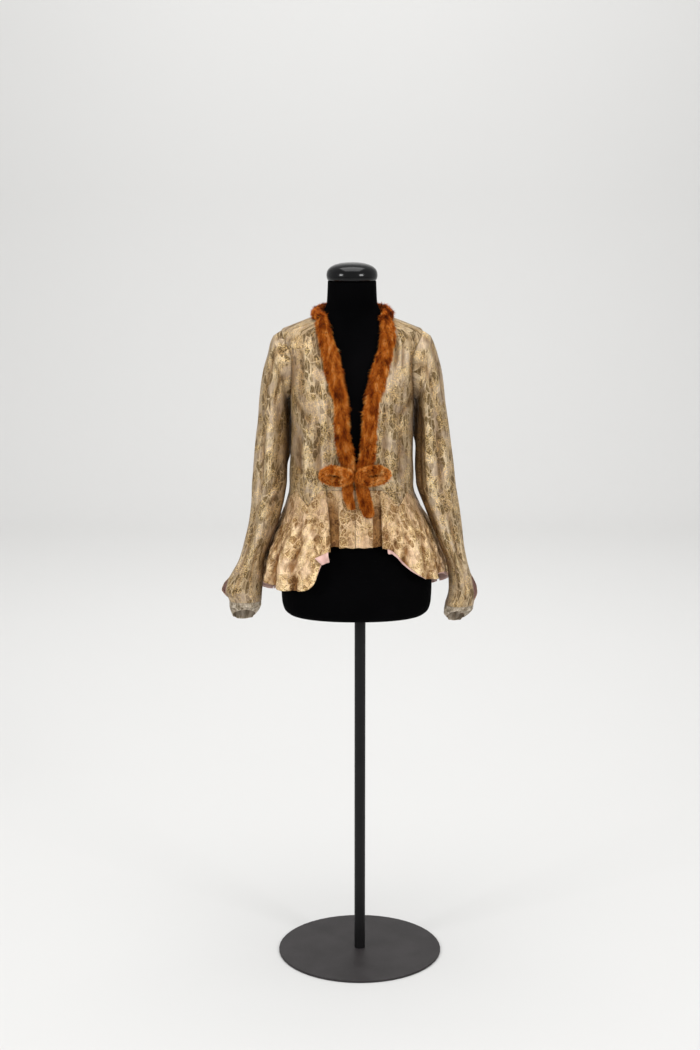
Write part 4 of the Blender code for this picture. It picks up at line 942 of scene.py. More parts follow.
sleeve_turn = math.pi * (1 - 2 * np.linspace(0, 1, 97)) % (2 * math.pi)
sleeve_turn[-1] = math.pi
sleeve_height = armhole_height(sleeve_turn)
sleeve_angle = np.where(
    np.sin(sleeve_turn) > 0, armhole_angle(sleeve_height, 1), armhole_angle(sleeve_height, 2))
for side, name in ((-1, "left"), (1, "right")):
    rings = sleeve_rings(side, even_rows(SLEEVES[name], 142), sleeve_turn[None, :], SLEEVE_FOLDS[name])
    seam = cloth(side * sleeve_angle, sleeve_height, shoulder_bridge(0, sleeve_height) - UNDER_EDGE)
    seam[:, 0] -= side * UNDER_EDGE
    seam[:, 2] += UNDER_EDGE * np.cos(sleeve_turn)
    joining = np.array([0.0, 0.35, 0.7])[:, None, None]
    grid = np.concatenate([seam * (1 - joining) + rings[0] * joining, rings])
    centre, normal = tube_normals(grid)
    steps = np.linalg.norm(np.diff(centre[:, 0], axis=0), axis=-1)
    walked = np.concatenate([[0], np.cumsum(steps)])[:, None]
    around = (sleeve_turn / (2 * math.pi) * SLEEVE_ROUND)[None, :] + 0 * walked
    up = centre[..., 2] + 0 * around
    low_end = walked[-1] - walked
    calm = ramp(np.minimum(walked, low_end), 0, 0.018) * ramp(1 + np.cos(sleeve_turn), 0, 0.05)[None, :]
    rise = creases(around, up, SLEEVE_CREASES[name]) * calm
    soft = ripples(around, up, 0.0008, 0.06, 0.02) * calm
    fullness = 0.0016 * np.sin(around / 0.0042) * np.exp(-((walked - 0.010) / 0.010) ** 2)
    fullness = fullness * ramp(-np.cos(sleeve_turn), 0.2, 0.7)[None, :] * ramp(walked, 0, 0.006)
    head = HEAD_RISE * np.exp(-((walked - 0.013) / 0.013) ** 2) * ramp(-np.cos(sleeve_turn), 0, 0.6)[None, :]
    grid = grid + normal * (rise + soft + fullness + head)[..., None]
    against = np.exp(-((np.degrees(sleeve_turn) - LEANS_AT) / 30) ** 2)[None, :]
    against = against * ramp(up, *LEANS_BELOW[name]) * ramp(walked, 0.004, 0.030)
    grid[..., 0] -= side * LEANS_IN * against
    share = np.linspace(0, 1, sleeve_turn.size)[None, :]
    spread = HEAD_SPREAD + (1 - HEAD_SPREAD) * ramp(walked, 0, 0.055)
    share = np.where(share < 0.5, 0.5 - (0.5 - share) * spread, 0.5 + (share - 0.5) * spread)
    uv = np.stack([share * 0.9 * SLEEVE_ROUND + 1.0 + 0.4 * side, grid[..., 2] * GRAIN_STRETCH], axis=-1)
    # Painted shading of the sleeve: its creases, fullness and long folds darken in their troughs and lighten
    # on their ridges, and painted shade lies along its inner side, where it hangs against the body.
    fold_depth = long_folds(sleeve_turn[None, :], up, SLEEVE_FOLDS[name])
    from_inner = np.degrees(np.minimum(sleeve_turn, 2 * math.pi - sleeve_turn))
    inner_shade = 0.9 * np.exp(-(from_inner / 34) ** 2) * ramp(1.34 - up, 0, 0.08)
    painted_shading = 0.7 * ((rise + 0.3 * soft + fullness) / CREASE_DEPTH + fold_depth / FOLD_DEPTH) - inner_shade
    piece = cloth_piece(f"sleeve_{name}_cloth", grid, uv, centre, [taupe_brocade, pink_satin], painted_shading)
    place_piece(piece, "lame_taupe", f"sleeve_{name}")


# Cuffs: the sleeve's end is faced with the brocade's silver-grey wrong side, soft and a little crushed.
# Each is a short tube sewn to the sleeve's lower edge, and its mouth is pressed to an oval.
CUFFS = {
    "left": (
        (0.2797, 0.8285, 0.2092, 0.8285, 0.0333, -0.025, 0.000),
        (0.2795, 0.8150, 0.2110, 0.8150, 0.0325, -0.026, 0.000),
        (0.2780, 0.8010, 0.2155, 0.8020, 0.0315, -0.027, 0.000),
        (0.2730, 0.7860, 0.2230, 0.7900, 0.0300, -0.028, 0.000),
    ),
    "right": (
        (0.2578, 0.8195, 0.1943, 0.8185, 0.0333, -0.023, 0.000),
        (0.2565, 0.8080, 0.1930, 0.8060, 0.0325, -0.024, 0.000),
        (0.2500, 0.7940, 0.1935, 0.7930, 0.0315, -0.025, 0.000),
        (0.2380, 0.7840, 0.1985, 0.7830, 0.0300, -0.026, 0.000),
    ),
}
MOUTH_RISE = 0.026
MOUTH_DROP = 0.008
for side, name in ((-1, "left"), (1, "right")):
    grid = sleeve_rings(side, even_rows(CUFFS[name], 26), sleeve_turn[None, :], ())
    centre, normal = tube_normals(grid)
    down = np.linspace(0, 1, len(grid))[:, None]
    around = (sleeve_turn / (2 * math.pi) * SLEEVE_ROUND)[None, :]
    crush = 0.0012 * np.sin(around / 0.0085 + 3 * down) + 0.0009 * np.sin(around / 0.0051 - 5 * down)
    crush = crush * ramp(down, 0, 0.3) * ramp(1 + np.cos(sleeve_turn), 0, 0.05)[None, :]
    grid = grid + normal * crush[..., None]
    front_share = (np.sin(sleeve_turn) + 1) / 2
    grid[..., 2] += (MOUTH_RISE * front_share - MOUTH_DROP * (1 - front_share)) * ramp(down, 0.1, 1.0)
    uv = np.stack([around * 0.9 + 0 * down, -0.045 * down + 0 * around], axis=-1)
    # The crush gives painted shading: painted shade in its troughs and a painted highlight on its ridges.
    piece = cloth_piece(f"cuff_{name}_cloth", grid, uv, centre, [silver_side], 0.6 * crush / CREASE_DEPTH)
    place_piece(piece, "lame_silver", f"cuff_{name}")


# Peplum: short fronts with an inverted pleat, flared sides and back cut with points up into the bodice.
# The same brocade on its warmer gold side, crinkled all over, with a pale pink satin lining at the hem.
# Columns: left x, right x, top depth, depth
PLEATS = (
    (0.000, 0.000, 0.000, 0.000),
    (-0.014, 0.018, 0.000, 0.000),
    (-0.0330, 0.0365, 0.000, 0.000),
    (-0.0360, 0.0390, 0.000, 0.010),
    (-0.0420, 0.0430, 0.001, 0.011),
    (-0.0490, 0.0530, 0.002, 0.011),
    (-0.0540, 0.0650, 0.003, 0.011),
    (-0.0600, 0.0710, 0.003, 0.011),
)
FRONT_HEM = 0.9665
SIDE_START_X = {-1: -0.0550, 1: 0.0600}
SIDE_END = 112.0
FOLD_RETURN = 0.005
WAIST_FRONT = 1.086
CRINKLE = 0.0022
CRINKLE_RADIUS = 0.16
PEPLUM_RADIUS = 0.17
LINING_DEPTH = 0.0012
LINING_ROWS = slice(39, None, 2)
# Columns: angle, left height, right height, left lining, right lining
HEMS = (
    (20, 0.957, 0.963, 0.955, 0.960),
    (23, 0.948, 0.963, 0.938, 0.957),
    (25, 0.926, 0.962, 0.922, 0.952),
    (27, 0.900, 0.959, 0.901, 0.952),
    (29, 0.886, 0.954, 0.888, 0.947),
    (32, 0.877, 0.944, 0.879, 0.938),
    (35, 0.873, 0.934, 0.875, 0.928),
    (40, 0.870, 0.916, 0.872, 0.911),
    (46, 0.868, 0.900, 0.870, 0.899),
    (54, 0.868, 0.889, 0.871, 0.889),
    (64, 0.870, 0.887, 0.872, 0.887),
    (76, 0.873, 0.894, 0.871, 0.892),
    (90, 0.866, 0.890, 0.861, 0.884),
    (112, 0.840, 0.858, 0.835, 0.853),
    (140, 0.822, 0.826, 0.818, 0.822),
    (180, 0.812, 0.812, 0.808, 0.808),
)
# Columns: angle, width, rise, top
FOLDS_LEFT = (
    (35, 6, 0.007, 1.03),
    (44, 3.5, -0.011, 1.00),
    (53, 6, 0.010, 1.05),
    (64, 4, -0.011, 1.02),
    (74, 5, 0.006, 1.03),
    (84, 5, -0.009, 1.00),
    (101, 8, 0.014, 1.085),
    (112, 7, -0.010, 1.02),
    (124, 8, 0.012, 1.06),
    (140, 7, -0.012, 1.04),
    (155, 8, 0.012, 1.06),
    (170, 6, -0.010, 1.04),
    (180, 4, 0.004, 1.04),
)
FOLDS_RIGHT = (
    (36, 4, -0.011, 1.01),
    (46, 6, 0.010, 1.05),
    (55, 3.5, -0.011, 0.99),
    (63, 5, 0.007, 1.02),
    (71, 4, -0.011, 1.00),
    (82, 6, 0.008, 1.05),
    (91, 4, -0.006, 0.99),
    (103, 8, 0.014, 1.085),
    (118, 7, -0.011, 1.03),
    (133, 8, 0.012, 1.06),
    (149, 7, -0.012, 1.04),
    (165, 8, 0.011, 1.06),
)
gold_brocade = brocade(
    "gold_brocade", pale=(0.840, 0.620, 0.390), ground=(0.590, 0.390, 0.200), mist=(0.760, 0.540, 0.370),
    dark=(0.260, 0.130, 0.036), gold=(0.98, 0.74, 0.38), trough_shade=(0.38, 0.25, 0.13),
    leaf=(0.0120, 0.0150), fleck=(0.0048, 0.0044), curl=1.3, gilt=(0.40, 0.60), crumple=0.0065)


def hem(angle, lining=False):
    """Height of the hem at an angle, from the table's column for that side and layer."""
    heights = read_table(np.abs(angle), HEMS)
    left, right = (2, 3) if lining else (0, 1)
    return np.where(angle < 0, heights[..., left], heights[..., right])


def folds(angle, z):
    """The big folds: bells round the body that grow smoothly over 160 mm below their tops."""
    total = 0 * angle + 0 * z
    for side, table in ((-1, FOLDS_LEFT), (1, FOLDS_RIGHT)):
        for middle, width, rise, top in table:
            shape = np.exp(-((angle - side * middle) / width) ** 2)
            if middle > 150:
                shape = shape + np.exp(-((angle - side * (middle - 360)) / width) ** 2)
            total = total + rise * shape * ramp(top - z, 0, 0.16)
    return total


def crinkles(angle, z, amount):
    """Crumpled cloth between the folds: short crossed waves, strongest low down."""
    around = np.radians(angle) * CRINKLE_RADIUS
    return ripples(around, z, amount, 0.030, 0.013) * ramp(1.06 - z, 0, 0.08)


def peplum_shading(angle, z, rise):
    """Painted shade and highlight of a place: its rise, and the crinkles once more at their own smaller
    depth.
    """
    return rise / 0.008 + 0.5 * crinkles(angle, z, 1.0)


def lay_inside(grid):
    """The grid moved towards the body along its normals, to where the lining lies."""
    return grid - grid_normals(grid, body_axis(grid)) * LINING_DEPTH


drop = np.linspace(0, 1, 84)[:, None]
for side, name in ((-1, "left"), (1, "right")):
    column = 0 if side == -1 else 1
    pleats = even_rows(PLEATS, 52)[None]
    stops, top_depth, depth = pleats[..., column], pleats[..., 2], pleats[..., 3]
    z = WAIST_FRONT + 0 * stops
    top = waist(angle_at(read_table(z, FRONT_EDGES)[..., column] + stops, z)) - SEAM_GAP
    z = top + drop * (FRONT_HEM + 0.0008 * np.sin(stops / 0.004) - top)
    x = read_table(z, FRONT_EDGES)[..., column] + stops
    angle = angle_at(x, z)
    wave = ripples(x, z, 0.0006, 0.05, 0.014) * ramp(drop, 0, 0.2)
    back = top_depth + (depth - top_depth) * ramp(drop, 0.05, 0.6)
    grid = cloth(angle, z, wave - back)
    uv = np.stack([x + 2.0, z], axis=-1)
    # Painted shading: the recessed pleat gets painted shade, and the small waves darken and lighten.
    piece = cloth_piece(f"peplum_front_{name}_cloth", grid, uv, body_axis(grid), [gold_brocade, pink_satin],
                        (wave - 0.25 * back) / CREASE_DEPTH)
    place_piece(piece, "lame_gold", f"peplum_front_{name}")

    start = float(side * angle_at(np.array(SIDE_START_X[side]), np.array(WAIST_FRONT)))
    last = SIDE_END - 0.1
    across = np.linspace(0, 1, 130)[None, :]
    nominal = side * (start + across * (last - start))
    top = waist(nominal) - SEAM_GAP
    turn_in = FOLD_RETURN * np.exp(-(across / 0.012) ** 2)
    for layer in ("cloth", "lining"):
        z = top + drop * (hem(nominal, layer == "lining") - top)
        begin = side * angle_at(SIDE_START_X[side] + 0 * z[:, :1], z[:, :1])
        begin = begin + start - begin[0]
        angle = side * (begin + across * (last - begin))
        z = top + drop * (hem(angle, layer == "lining") - top)
        rise = folds(angle, z) + crinkles(angle, z, CRINKLE)
        if layer == "cloth":
            grid = cloth(angle, z, rise - turn_in * ramp(drop, 0, 0.4))
            finishes, slot, node = [gold_brocade], "lame_gold", f"peplum_side_{name}"
        else:
            grid = lay_inside(cloth(angle, z, rise)[:, 5:-1])[LINING_ROWS]
            angle, z, rise = (part[LINING_ROWS, 5:-1] for part in (angle, z, rise))
            finishes, slot, node = [pink_satin], "satin_pink", f"lining_side_{name}"
        uv = np.stack([np.radians(angle) * PEPLUM_RADIUS, z], axis=-1)
        painted_shading = peplum_shading(angle, z, rise)
        piece = cloth_piece(f"{node}_cloth", grid, uv, body_axis(grid), finishes, painted_shading)
        place_piece(piece, slot, node)

# Columns: x, height
TURNED_CORNER = ((-0.0855, 0.9440), (-0.0560, 0.9590), (-0.0545, 0.9370), (-0.0700, 0.9310))
TURNED_RISE = 0.0045
first, second, third, fourth = np.array(TURNED_CORNER)
u = np.linspace(0, 1, 25)[None, :, None]
v = np.linspace(0, 1, 17)[:, None, None]
place = (first * (1 - u) + second * u) * (1 - v) + (fourth * (1 - u) + third * u) * v
place = place + np.array([0.0, 0.0022]) * np.sin(math.pi * v) * np.sin(7 * u + 0.5)
x, z = place[..., 0], place[..., 1]
angle = angle_at(x, z)
curl = TURNED_RISE + 0.004 * np.sin(math.pi * v[..., 0]) + 0.0015 * np.sin(9 * u[..., 0])
grid = cloth(angle, z, folds(angle, z) + crinkles(angle, z, CRINKLE) + curl)
uv = np.stack([x + 0.3, z], axis=-1)
piece = cloth_piece("turned_corner_left", grid, uv, body_axis(grid), [pink_satin], 0 * z)
place_piece(piece, "satin_pink")

across = np.linspace(0, 1, 150)[None, :]
angle = SIDE_END + across * (360 - 2 * SIDE_END)
angle = np.where(angle > 180, angle - 360, angle)
top = waist(angle) - SEAM_GAP
for layer in ("cloth", "lining"):
    z = top + drop * (hem(angle, layer == "lining") - top)
    turned_round = np.where(angle < 0, angle + 360, angle) + 0 * z
    rise = folds(angle, z) + crinkles(turned_round, z, CRINKLE)
    grid = cloth(angle + 0 * z, z, rise)
    finishes, slot, node = [gold_brocade], "lame_gold", "peplum_back"
    if layer == "lining":
        grid, z, turned_round, rise = (
            part[LINING_ROWS, 1:-1] for part in (lay_inside(grid), z, turned_round, rise))
        finishes, slot, node = [pink_satin], "satin_pink", "lining_back"
    uv = np.stack([np.radians(turned_round) * PEPLUM_RADIUS + 0.7, z], axis=-1)
    painted_shading = 0.6 * peplum_shading(turned_round, z, rise)
    piece = cloth_piece(f"{node}_cloth", grid, uv, body_axis(grid), finishes, painted_shading)
    place_piece(piece, slot, node)


# Fur band: a narrow strip of short rust-brown pelt, sewn along both front edges and round the neck.
# The hair lies down and outwards, dark at its roots and lighter at its tips, and parts into soft locks.
# Columns: height, left inner, left outer, right inner, right outer, outer drop, thickness
FUR_FRONT = (
    (1.1160, 0.0034, -0.0060, 0.0044, 0.0140, 0.000, 0.008),
    (1.1300, 0.0065, -0.0100, 0.0088, 0.0240, 0.000, 0.009),
    (1.1475, 0.0066, -0.0260, 0.0112, 0.0491, 0.000, 0.010),
    (1.1740, 0.0030, -0.0350, 0.0160, 0.0533, 0.000, 0.013),
    (1.2000, -0.0030, -0.0385, 0.0195, 0.0533, 0.000, 0.013),
    (1.2280, -0.0054, -0.0392, 0.0212, 0.0531, 0.000, 0.013),
    (1.2550, -0.0075, -0.0380, 0.0240, 0.0560, 0.000, 0.013),
    (1.2820, -0.0105, -0.0410, 0.0270, 0.0600, 0.000, 0.014),
    (1.3120, -0.0140, -0.0530, 0.0320, 0.0720, 0.000, 0.014),
    (1.3430, -0.0190, -0.0640, 0.0400, 0.0810, 0.000, 0.015),
    (1.3720, -0.0270, -0.0680, 0.0510, 0.0880, 0.000, 0.015),
    (1.4000, -0.0380, -0.0730, 0.0590, 0.0925, 0.001, 0.015),
    (1.4160, -0.0440, -0.0745, 0.0610, 0.0925, 0.003, 0.015),
    (1.4300, -0.0480, -0.0760, 0.0610, 0.0905, 0.005, 0.015),
    (1.4400, -0.0510, -0.0765, 0.0610, 0.0860, 0.005, 0.013),
    (1.4450, -0.0530, -0.0750, 0.0600, 0.0810, 0.004, 0.012),
)
# Columns: inner angle, inner height, outer angle, outer height, thickness
FUR_NECK = (
    (68, 1.452, 76, 1.4465, 0.012),
    (84, 1.458, 92, 1.4475, 0.012),
    (104, 1.464, 108, 1.4480, 0.012),
    (128, 1.468, 129, 1.4480, 0.012),
    (154, 1.471, 154, 1.4480, 0.012),
    (180, 1.473, 180, 1.4480, 0.012),
)
COLLAR_BASE = 0.0013
HAIR_LENGTH = 0.0135
HAIR_WIDTH = 0.0013
SKIN_TONE = 0.25
COLLAR_INSETS = (0.16, 0.24)
rng = np.random.default_rng(11)
TUFT_WAVES = rng.normal(size=(3, 3)) * 420

fur_finish, fur_shader = new_finish("rust_fur", Roughness=0.6, Specular_IOR_Level=0.08)
fur_uv = wire(fur_finish, "SeparateXYZ", inputs={"Vector": wire(fur_finish, "TexCoord").outputs["UV"]})
fur_object = wire(fur_finish, "TexCoord").outputs["Object"]
fur_flow = wire(fur_finish, "VectorMath", {"operation": "MULTIPLY"}, {0: fur_object, 1: (1.0, 1.0, 0.40)})
fur_patch = wire(fur_finish, "TexNoise", inputs={
    "Vector": fur_flow.outputs[0], "Scale": 78.0, "Detail": 4.0})
fur_height = wire(fur_finish, "SeparateXYZ", inputs={"Vector": fur_object}).outputs["Z"]
fur_mix = map_range(fur_finish, fur_patch.outputs["Fac"], 0.34, 0.66, -0.30, 0.28)
# Added to the fur's tone: a random tone per lock, darker roots and lighter tips, and painted shade that
# darkens the fur towards the top of the neck.
for fur_share in (
    map_range(fur_finish, fur_uv.outputs["X"], 0.0, 1.0, -0.20, 0.20),
    map_range(fur_finish, fur_uv.outputs["Y"], 0.0, 1.0, 0.12, 0.80),
    map_range(fur_finish, fur_height, 1.425, 1.470, 0.0, -0.30),
):
    fur_mix = wire(fur_finish, "Math", {"operation": "ADD"}, {0: fur_mix, 1: fur_share}).outputs[0]
fur_colour = colour_steps(fur_finish, fur_mix, (
    (0.08, (0.055, 0.008, 0.001)), (0.32, (0.24, 0.038, 0.003)), (0.55, (0.56, 0.135, 0.010)),
    (0.78, (0.76, 0.260, 0.035)), (1.0, (0.92, 0.520, 0.180))))
fur_finish.node_tree.links.new(fur_colour, fur_shader.inputs["Base Color"])


def skin_normal(surface, s, t):
    """Point, two unit directions and outward normal of a surface function, from small steps in s and t."""
    step = 1e-3
    point = surface(s, t)
    along = surface(s + step, t) - surface(s - step, t)
    aside = surface(s, t + step) - surface(s, t - step)
    along /= np.linalg.norm(along, axis=-1, keepdims=True) + 1e-12
    aside /= np.linalg.norm(aside, axis=-1, keepdims=True) + 1e-12
    normal = np.cross(along, aside)
    normal /= np.linalg.norm(normal, axis=-1, keepdims=True) + 1e-12
    return point, along, aside, normal


def hair_mesh(name, root, lean, lie, length, width, shade):
    """Locks of hair: each is a spindle of six triangles from its root over a bent middle to its tip.

    The middle lies 0.45 of the length along the lean, and the tip the rest of it along the lie.
    """
    count = len(root)
    middle = root + lean * (0.45 * length)[:, None]
    tip = middle + lie * (0.55 * length)[:, None]
    way = tip - root
    way /= np.linalg.norm(way, axis=-1, keepdims=True)
    first = np.cross(way, rng.normal(size=(count, 3)))
    first /= np.linalg.norm(first, axis=-1, keepdims=True)
    second = np.cross(way, first)
    turn = np.arange(3) * 2 * math.pi / 3
    ring = middle[:, None] + (width / 2)[:, None, None] * (
        np.cos(turn)[:, None] * first[:, None] + np.sin(turn)[:, None] * second[:, None])
    points = np.concatenate([root[:, None], ring, tip[:, None]], axis=1).reshape(-1, 3)
    pattern = np.array([(0, 2, 1), (0, 3, 2), (0, 1, 3), (4, 1, 2), (4, 2, 3), (4, 3, 1)])
    faces = (pattern[None] + 5 * np.arange(count)[:, None, None]).reshape(-1, 3)
    shade = np.repeat(shade, 5)
    height = np.tile([0.0, 0.5, 0.5, 0.5, 1.0], count)
    mesh = bpy.data.meshes.new(name)
    mesh.from_pydata(points.tolist(), [], faces.tolist())
    layer = mesh.uv_layers.new(name="hair")
    uv = np.stack([shade, height], axis=-1)[faces.reshape(-1)]
    layer.data.foreach_set("uv", uv.astype(np.float32).ravel())
    mesh.shade_smooth()
    mesh.materials.append(fur_finish)
    return put_in_scene(name, mesh)


def grow(name, surface, count, s_range, t_range, flow, stand,
         length=HAIR_LENGTH, width=HAIR_WIDTH, pale=0.0):
    """Hair rooted at seeded random places of a surface: it leans on its normal and lies along the flow.

    flow gives the shares of the two surface directions, and the side share grows towards both edges.
    """
    s = rng.uniform(*s_range, count)
    t = rng.uniform(*t_range, count)
    point, along, aside, normal = skin_normal(surface, s, t)
    centre = sum(surface(s, 0 * t + part) for part in (0, 0.25, 0.5, 0.75)) / 4
    normal = normal * np.sign(np.sum(normal * (point - centre)))
    waves = point @ TUFT_WAVES
    tuft = np.sin(waves + 1.3 * np.sin(0.6 * waves[:, [1, 2, 0]]))
    drift = along * flow[0] + aside * (flow[1] * (2 * t - 1))[:, None] + 0.12 * tuft
    drift = drift + rng.normal(size=(count, 3)) * 0.28
    lean = normal * stand + drift * 0.5
    lie = normal * stand * 0.35 + drift
    lean /= np.linalg.norm(lean, axis=-1, keepdims=True)
    lie /= np.linalg.norm(lie, axis=-1, keepdims=True)
    grown = length * rng.uniform(0.50, 1.25, count) * (1 + 0.08 * tuft[:, 0])
    shade = 0.65 * rng.random(count) + 0.175 * (1 + tuft[:, 1]) + pale
    wide = width * rng.uniform(0.6, 1.25, count)
    return hair_mesh(name, point - normal * 0.0006, lean, lie, grown, wide, shade)


def fur_path():
    """Stations of the whole band by distance: inner angle and height, outer angle and height, thickness."""
    height, left_inner, left_outer, right_inner, right_outer, outer_drop, thickness = np.array(FUR_FRONT).T
    left = np.stack([angle_at(left_inner, height), height,
                     angle_at(left_outer, height - outer_drop), height - outer_drop, thickness], axis=-1)
    right = np.stack([angle_at(right_inner, height), height,
                      angle_at(right_outer, height - outer_drop), height - outer_drop, thickness], axis=-1)
    neck = np.array(FUR_NECK)
    neck_left = neck * np.array([-1, 1, -1, 1, 1])
    neck_right = neck[-2::-1] - np.array([360, 0, 360, 0, 0])
    path = np.concatenate([left, neck_left, neck_right, right[::-1] - np.array([360, 0, 360, 0, 0])])
    step = np.linalg.norm(np.diff(path * np.array([0.0015, 1, 0.0015, 1, 0]), axis=0), axis=1)
    along = np.concatenate([[0], np.cumsum(step)])
    return np.column_stack([along / along[-1], path])


collar_path = fur_path()


def strip_surface(path, base, share, inner_inset, outer_inset):
    """Surface of a band of fur: s runs along the path and t across it, on a rounded rise over the cloth."""
    def surface(s, t):
        inner_angle, inner_z, outer_angle, outer_z, thickness = np.moveaxis(read_table(s, path), -1, 0)
        part = inner_inset + (1 - inner_inset - outer_inset) * t
        rise = np.clip(np.sin(math.pi * np.clip(t, 0, 1)), 0, 1) ** 0.55
        angle = inner_angle + (outer_angle - inner_angle) * part
        z = inner_z + (outer_z - inner_z) * part
        return cloth(angle, z, base + thickness * share * (0.12 + 0.88 * rise))
    return surface


def even_hair_map(piece, value):
    """Gives every corner of a piece the same place on the hair's map: 0 at its roots and 1 at its tips."""
    layer = piece.data.uv_layers.new(name="hair")
    layer.data.foreach_set("uv", np.full(len(piece.data.loops) * 2, value, np.float32))


def strip_skin(name, path, base, share, inner_inset, outer_inset, stations):
    """Closed strip of pelt under the hair: its rounded top and a flat underside."""
    s = np.linspace(0, 1, stations)[:, None]
    t = np.linspace(0, 1, 13)[None, :]
    top = strip_surface(path, base, share, inner_inset, outer_inset)(s, t + 0 * s)
    low_path = path * np.array([1, 1, 1, 1, 1, 0])
    back_across = np.linspace(1, 0, 6)[None, :]
    under = strip_surface(low_path, base, 1, inner_inset, outer_inset)(s, back_across + 0 * s)
    piece = closed_mesh(name, np.concatenate([top, under], axis=1), fur_finish)
    even_hair_map(piece, SKIN_TONE)
    return piece


skin = strip_skin("fur_collar_skin", collar_path, COLLAR_BASE - 0.0008, 0.55, *COLLAR_INSETS, 260)
place_piece(skin, "fur_rust", "fur_collar")
collar_surface = strip_surface(collar_path, COLLAR_BASE, 0.55, *COLLAR_INSETS)
neck_begins = collar_path[len(FUR_FRONT) - 1, 0]
neck_ends = 1 - neck_begins
for name, begin, end, flow in (
    ("fur_hair_left", 0.0, neck_begins, -0.85),
    ("fur_hair_neck", neck_begins, neck_ends, 0.55),
    ("fur_hair_right", neck_ends, 1.0, 0.85),
):
    hair = grow(name, collar_surface, 14500, (begin, end), (0.0, 1.0), (flow, 0.75), 0.42)
    place_piece(hair, "fur_rust")


# Fur bow: two flat loops of the same strip, and its two ends that hang over the waist seam.
# The loops are stitched down at their inner ends and the ends taper to short tips.
# Columns: middle x, middle z, half width, half height, tube
LOOPS = {
    "left": (-0.0324, 1.1210, 0.0250, 0.0128, 0.0100),
    "right": (0.0416, 1.1210, 0.0262, 0.0128, 0.0100),
}
BOW_MIDDLE = 0.0037
LOOP_LIFT = 0.0120
INSIDE_HEIGHT = 0.0050
INSIDE_EDGE = 0.0012
TAIL_BASE = 0.0004
TAIL_INSETS = (0.22, 0.14)
BOW_HAIR_LENGTH = 0.0090
BOW_HAIR_WIDTH = 0.0010
# Columns: height, inner x, outer x, thickness
TAILS = {
    "left": (
        (1.112, 0.0032, -0.0100, 0.008),
        (1.096, 0.0030, -0.0205, 0.010),
        (1.078, 0.0035, -0.0190, 0.011),
        (1.060, 0.0030, -0.0130, 0.010),
        (1.047, 0.0020, -0.0080, 0.006),
    ),
    "right": (
        (1.112, 0.0046, 0.0200, 0.008),
        (1.096, 0.0048, 0.0345, 0.009),
        (1.078, 0.0055, 0.0410, 0.011),
        (1.060, 0.0085, 0.0430, 0.012),
        (1.042, 0.0160, 0.0440, 0.010),
        (1.029, 0.0215, 0.0415, 0.006),
    ),
}


def loop_lift(x):
    """Height of the loops' undersides over the fronts: greatest beside the bow's middle, none far out."""
    return LOOP_LIFT * (1 - ramp(np.abs(x - BOW_MIDDLE), 0.018, 0.050))


def loop_surface(row, share):
    """Flat ring of fur on the front: s runs round the oval and t round its section."""
    middle_x, middle_z, half_width, half_height, tube = row
    def surface(s, t):
        turn = 2 * math.pi * s
        section = 2 * math.pi * t
        x = middle_x + (half_width + tube * share * np.cos(section)) * np.cos(turn)
        z = middle_z + (half_height + tube * share * np.cos(section)) * np.sin(turn)
        return cloth(angle_at(x, z), z, 0.0006 + loop_lift(x) + tube * (1 + share * np.sin(section)))
    return surface


for name, row in LOOPS.items():
    surface = loop_surface(row, 0.55)
    s = np.linspace(0, 1, 49)[:, None]
    t = np.linspace(0, 1, 17)[None, :-1]
    ring = surface(s, t + 0 * s)
    ring[-1] = ring[0]
    skin = closed_mesh(f"fur_loop_{name}_skin", ring, fur_finish)
    even_hair_map(skin, SKIN_TONE)
    place_piece(skin, "fur_rust", f"fur_loop_{name}")
    hair = grow(f"fur_hair_loop_{name}", surface, 6000, (0, 1), (0, 1), (0.5, 0.0), 0.8,
                BOW_HAIR_LENGTH, BOW_HAIR_WIDTH, 0.25)
    place_piece(hair, "fur_rust")
    # Inside each loop lies a pad of pelt, the ring's far side, given the darkest tone of the hair's map as
    # painted shade.
    rings = np.linspace(1.0, 0.05, 7)[:, None]
    turn = np.linspace(0, 2 * math.pi, 32, endpoint=False)[None, :]
    x = row[0] + row[2] * rings * np.cos(turn)
    z = row[1] + row[3] * rings * np.sin(turn)
    crown = cloth(angle_at(x, z), z, loop_lift(x) + INSIDE_HEIGHT * (1 + 0.3 * (1 - rings ** 2)))
    edge = cloth(angle_at(x, z), z, loop_lift(x) + INSIDE_EDGE)[:1]
    shaded_far_side = closed_mesh(f"fur_loop_{name}_inside", np.concatenate([edge, crown]), fur_finish)
    even_hair_map(shaded_far_side, 0.0)
    place_piece(shaded_far_side, "fur_rust")

for name, rows in TAILS.items():
    height, inner, outer, thickness = np.array(rows[::-1]).T
    path = np.column_stack([(height - height[0]) / (height[-1] - height[0]), angle_at(inner, height), height,
                            angle_at(outer, height), height, thickness])
    skin = strip_skin(f"fur_tail_{name}_skin", path, TAIL_BASE, 0.6, *TAIL_INSETS, 40)
    place_piece(skin, "fur_rust", f"fur_tail_{name}")
    surface = strip_surface(path, TAIL_BASE, 0.6, *TAIL_INSETS)
    hair = grow(f"fur_hair_tail_{name}", surface, 4500, (0.10, 1), (0, 1), (-0.9, 0.35), 0.55,
                BOW_HAIR_LENGTH, BOW_HAIR_WIDTH)
    place_piece(hair, "fur_rust")


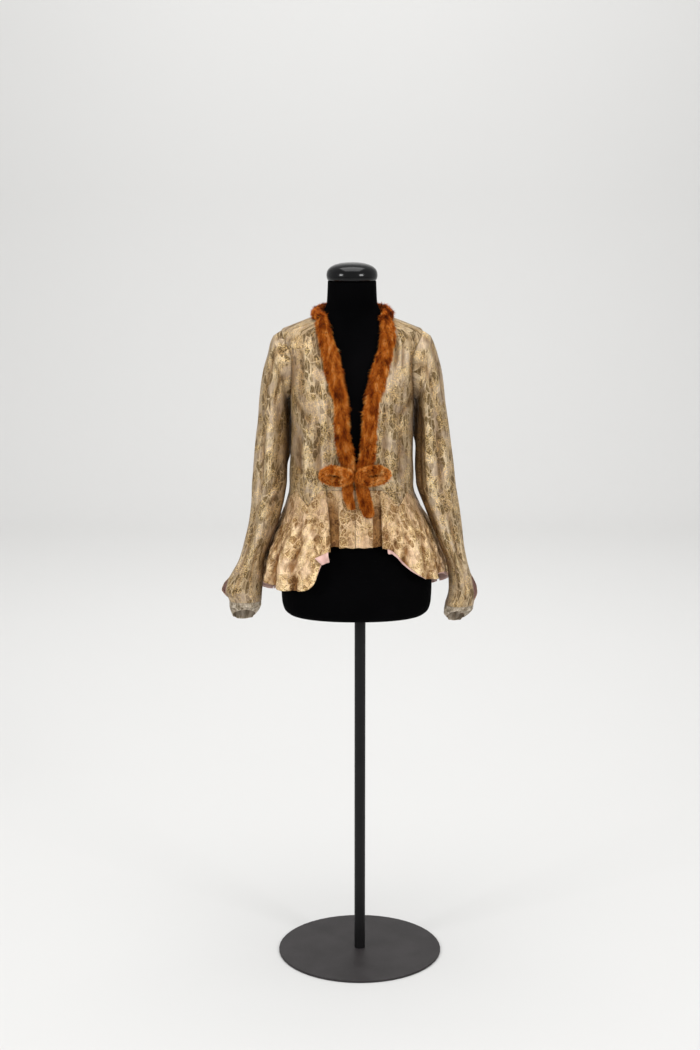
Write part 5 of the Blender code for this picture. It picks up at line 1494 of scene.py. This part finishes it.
# Studio: a pale sweep that runs from the floor up into a wall far behind, under an even pale surround.
# Two soft lights stand in front near the camera's height, one hangs above, and one is for the wall.
FLOOR_NEAR = -9.0
SWEEP_START = 5.0
SWEEP_RADIUS = 1.6
WALL_TOP = 7.0
FLOOR_HALF_WIDTH = 9.0
sweep_finish = clouded_finish(
    "studio_sweep", "Object", 0.8, 2.0, ((0.0, (0.700, 0.697, 0.690)), (1.0, (0.715, 0.712, 0.705))),
    Roughness=0.95, Specular_IOR_Level=0.1)[0]
sweep_turn = np.linspace(0, math.pi / 2, 25)
sweep_y = np.concatenate([
    [FLOOR_NEAR], SWEEP_START + SWEEP_RADIUS * np.sin(sweep_turn), [SWEEP_START + SWEEP_RADIUS]])
sweep_z = np.concatenate([[0], SWEEP_RADIUS * (1 - np.cos(sweep_turn)), [WALL_TOP]]) - 0.0002
sweep_points = [(side * FLOOR_HALF_WIDTH, y, z) for y, z in zip(sweep_y, sweep_z) for side in (-1, 1)]
sweep_faces = [(2 * row, 2 * row + 1, 2 * row + 3, 2 * row + 2) for row in range(len(sweep_y) - 1)]
sweep_mesh = bpy.data.meshes.new("sweep")
sweep_mesh.from_pydata(sweep_points, [], sweep_faces)
sweep_mesh.shade_smooth()
sweep_mesh.materials.append(sweep_finish)
put_in_scene("sweep", sweep_mesh)

world = bpy.data.worlds.new("studio")
bpy.context.scene.world = world
world.use_nodes = True
world.node_tree.nodes["Background"].inputs["Color"].default_value = (0.83, 0.83, 0.82, 1)
world.node_tree.nodes["Background"].inputs["Strength"].default_value = 0.62
LIGHTS = (
    ("light_right", (2.3, -2.5, 2.1), (0, 0, 1.15), 0.9, 44),
    ("light_left", (-2.7, -2.2, 2.1), (0, 0, 1.15), 0.9, 44),
    ("light_above", (0.0, -0.2, 4.4), (0, 0, 0.0), 3.0, 95),
    ("light_wall", (0.0, 2.6, 4.8), (0, 6.6, 1.6), 3.0, 130),
)
for name, place, aim, size, power in LIGHTS:
    light = bpy.data.lights.new(name, "AREA")
    light.size = size
    light.energy = power
    lamp = put_in_scene(name, light)
    lamp.location = place
    way = np.array(aim) - np.array(place)
    tilt = math.acos(-way[2] / np.linalg.norm(way))
    lamp.rotation_euler = (tilt, 0, math.atan2(way[1], way[0]) - math.pi / 2)
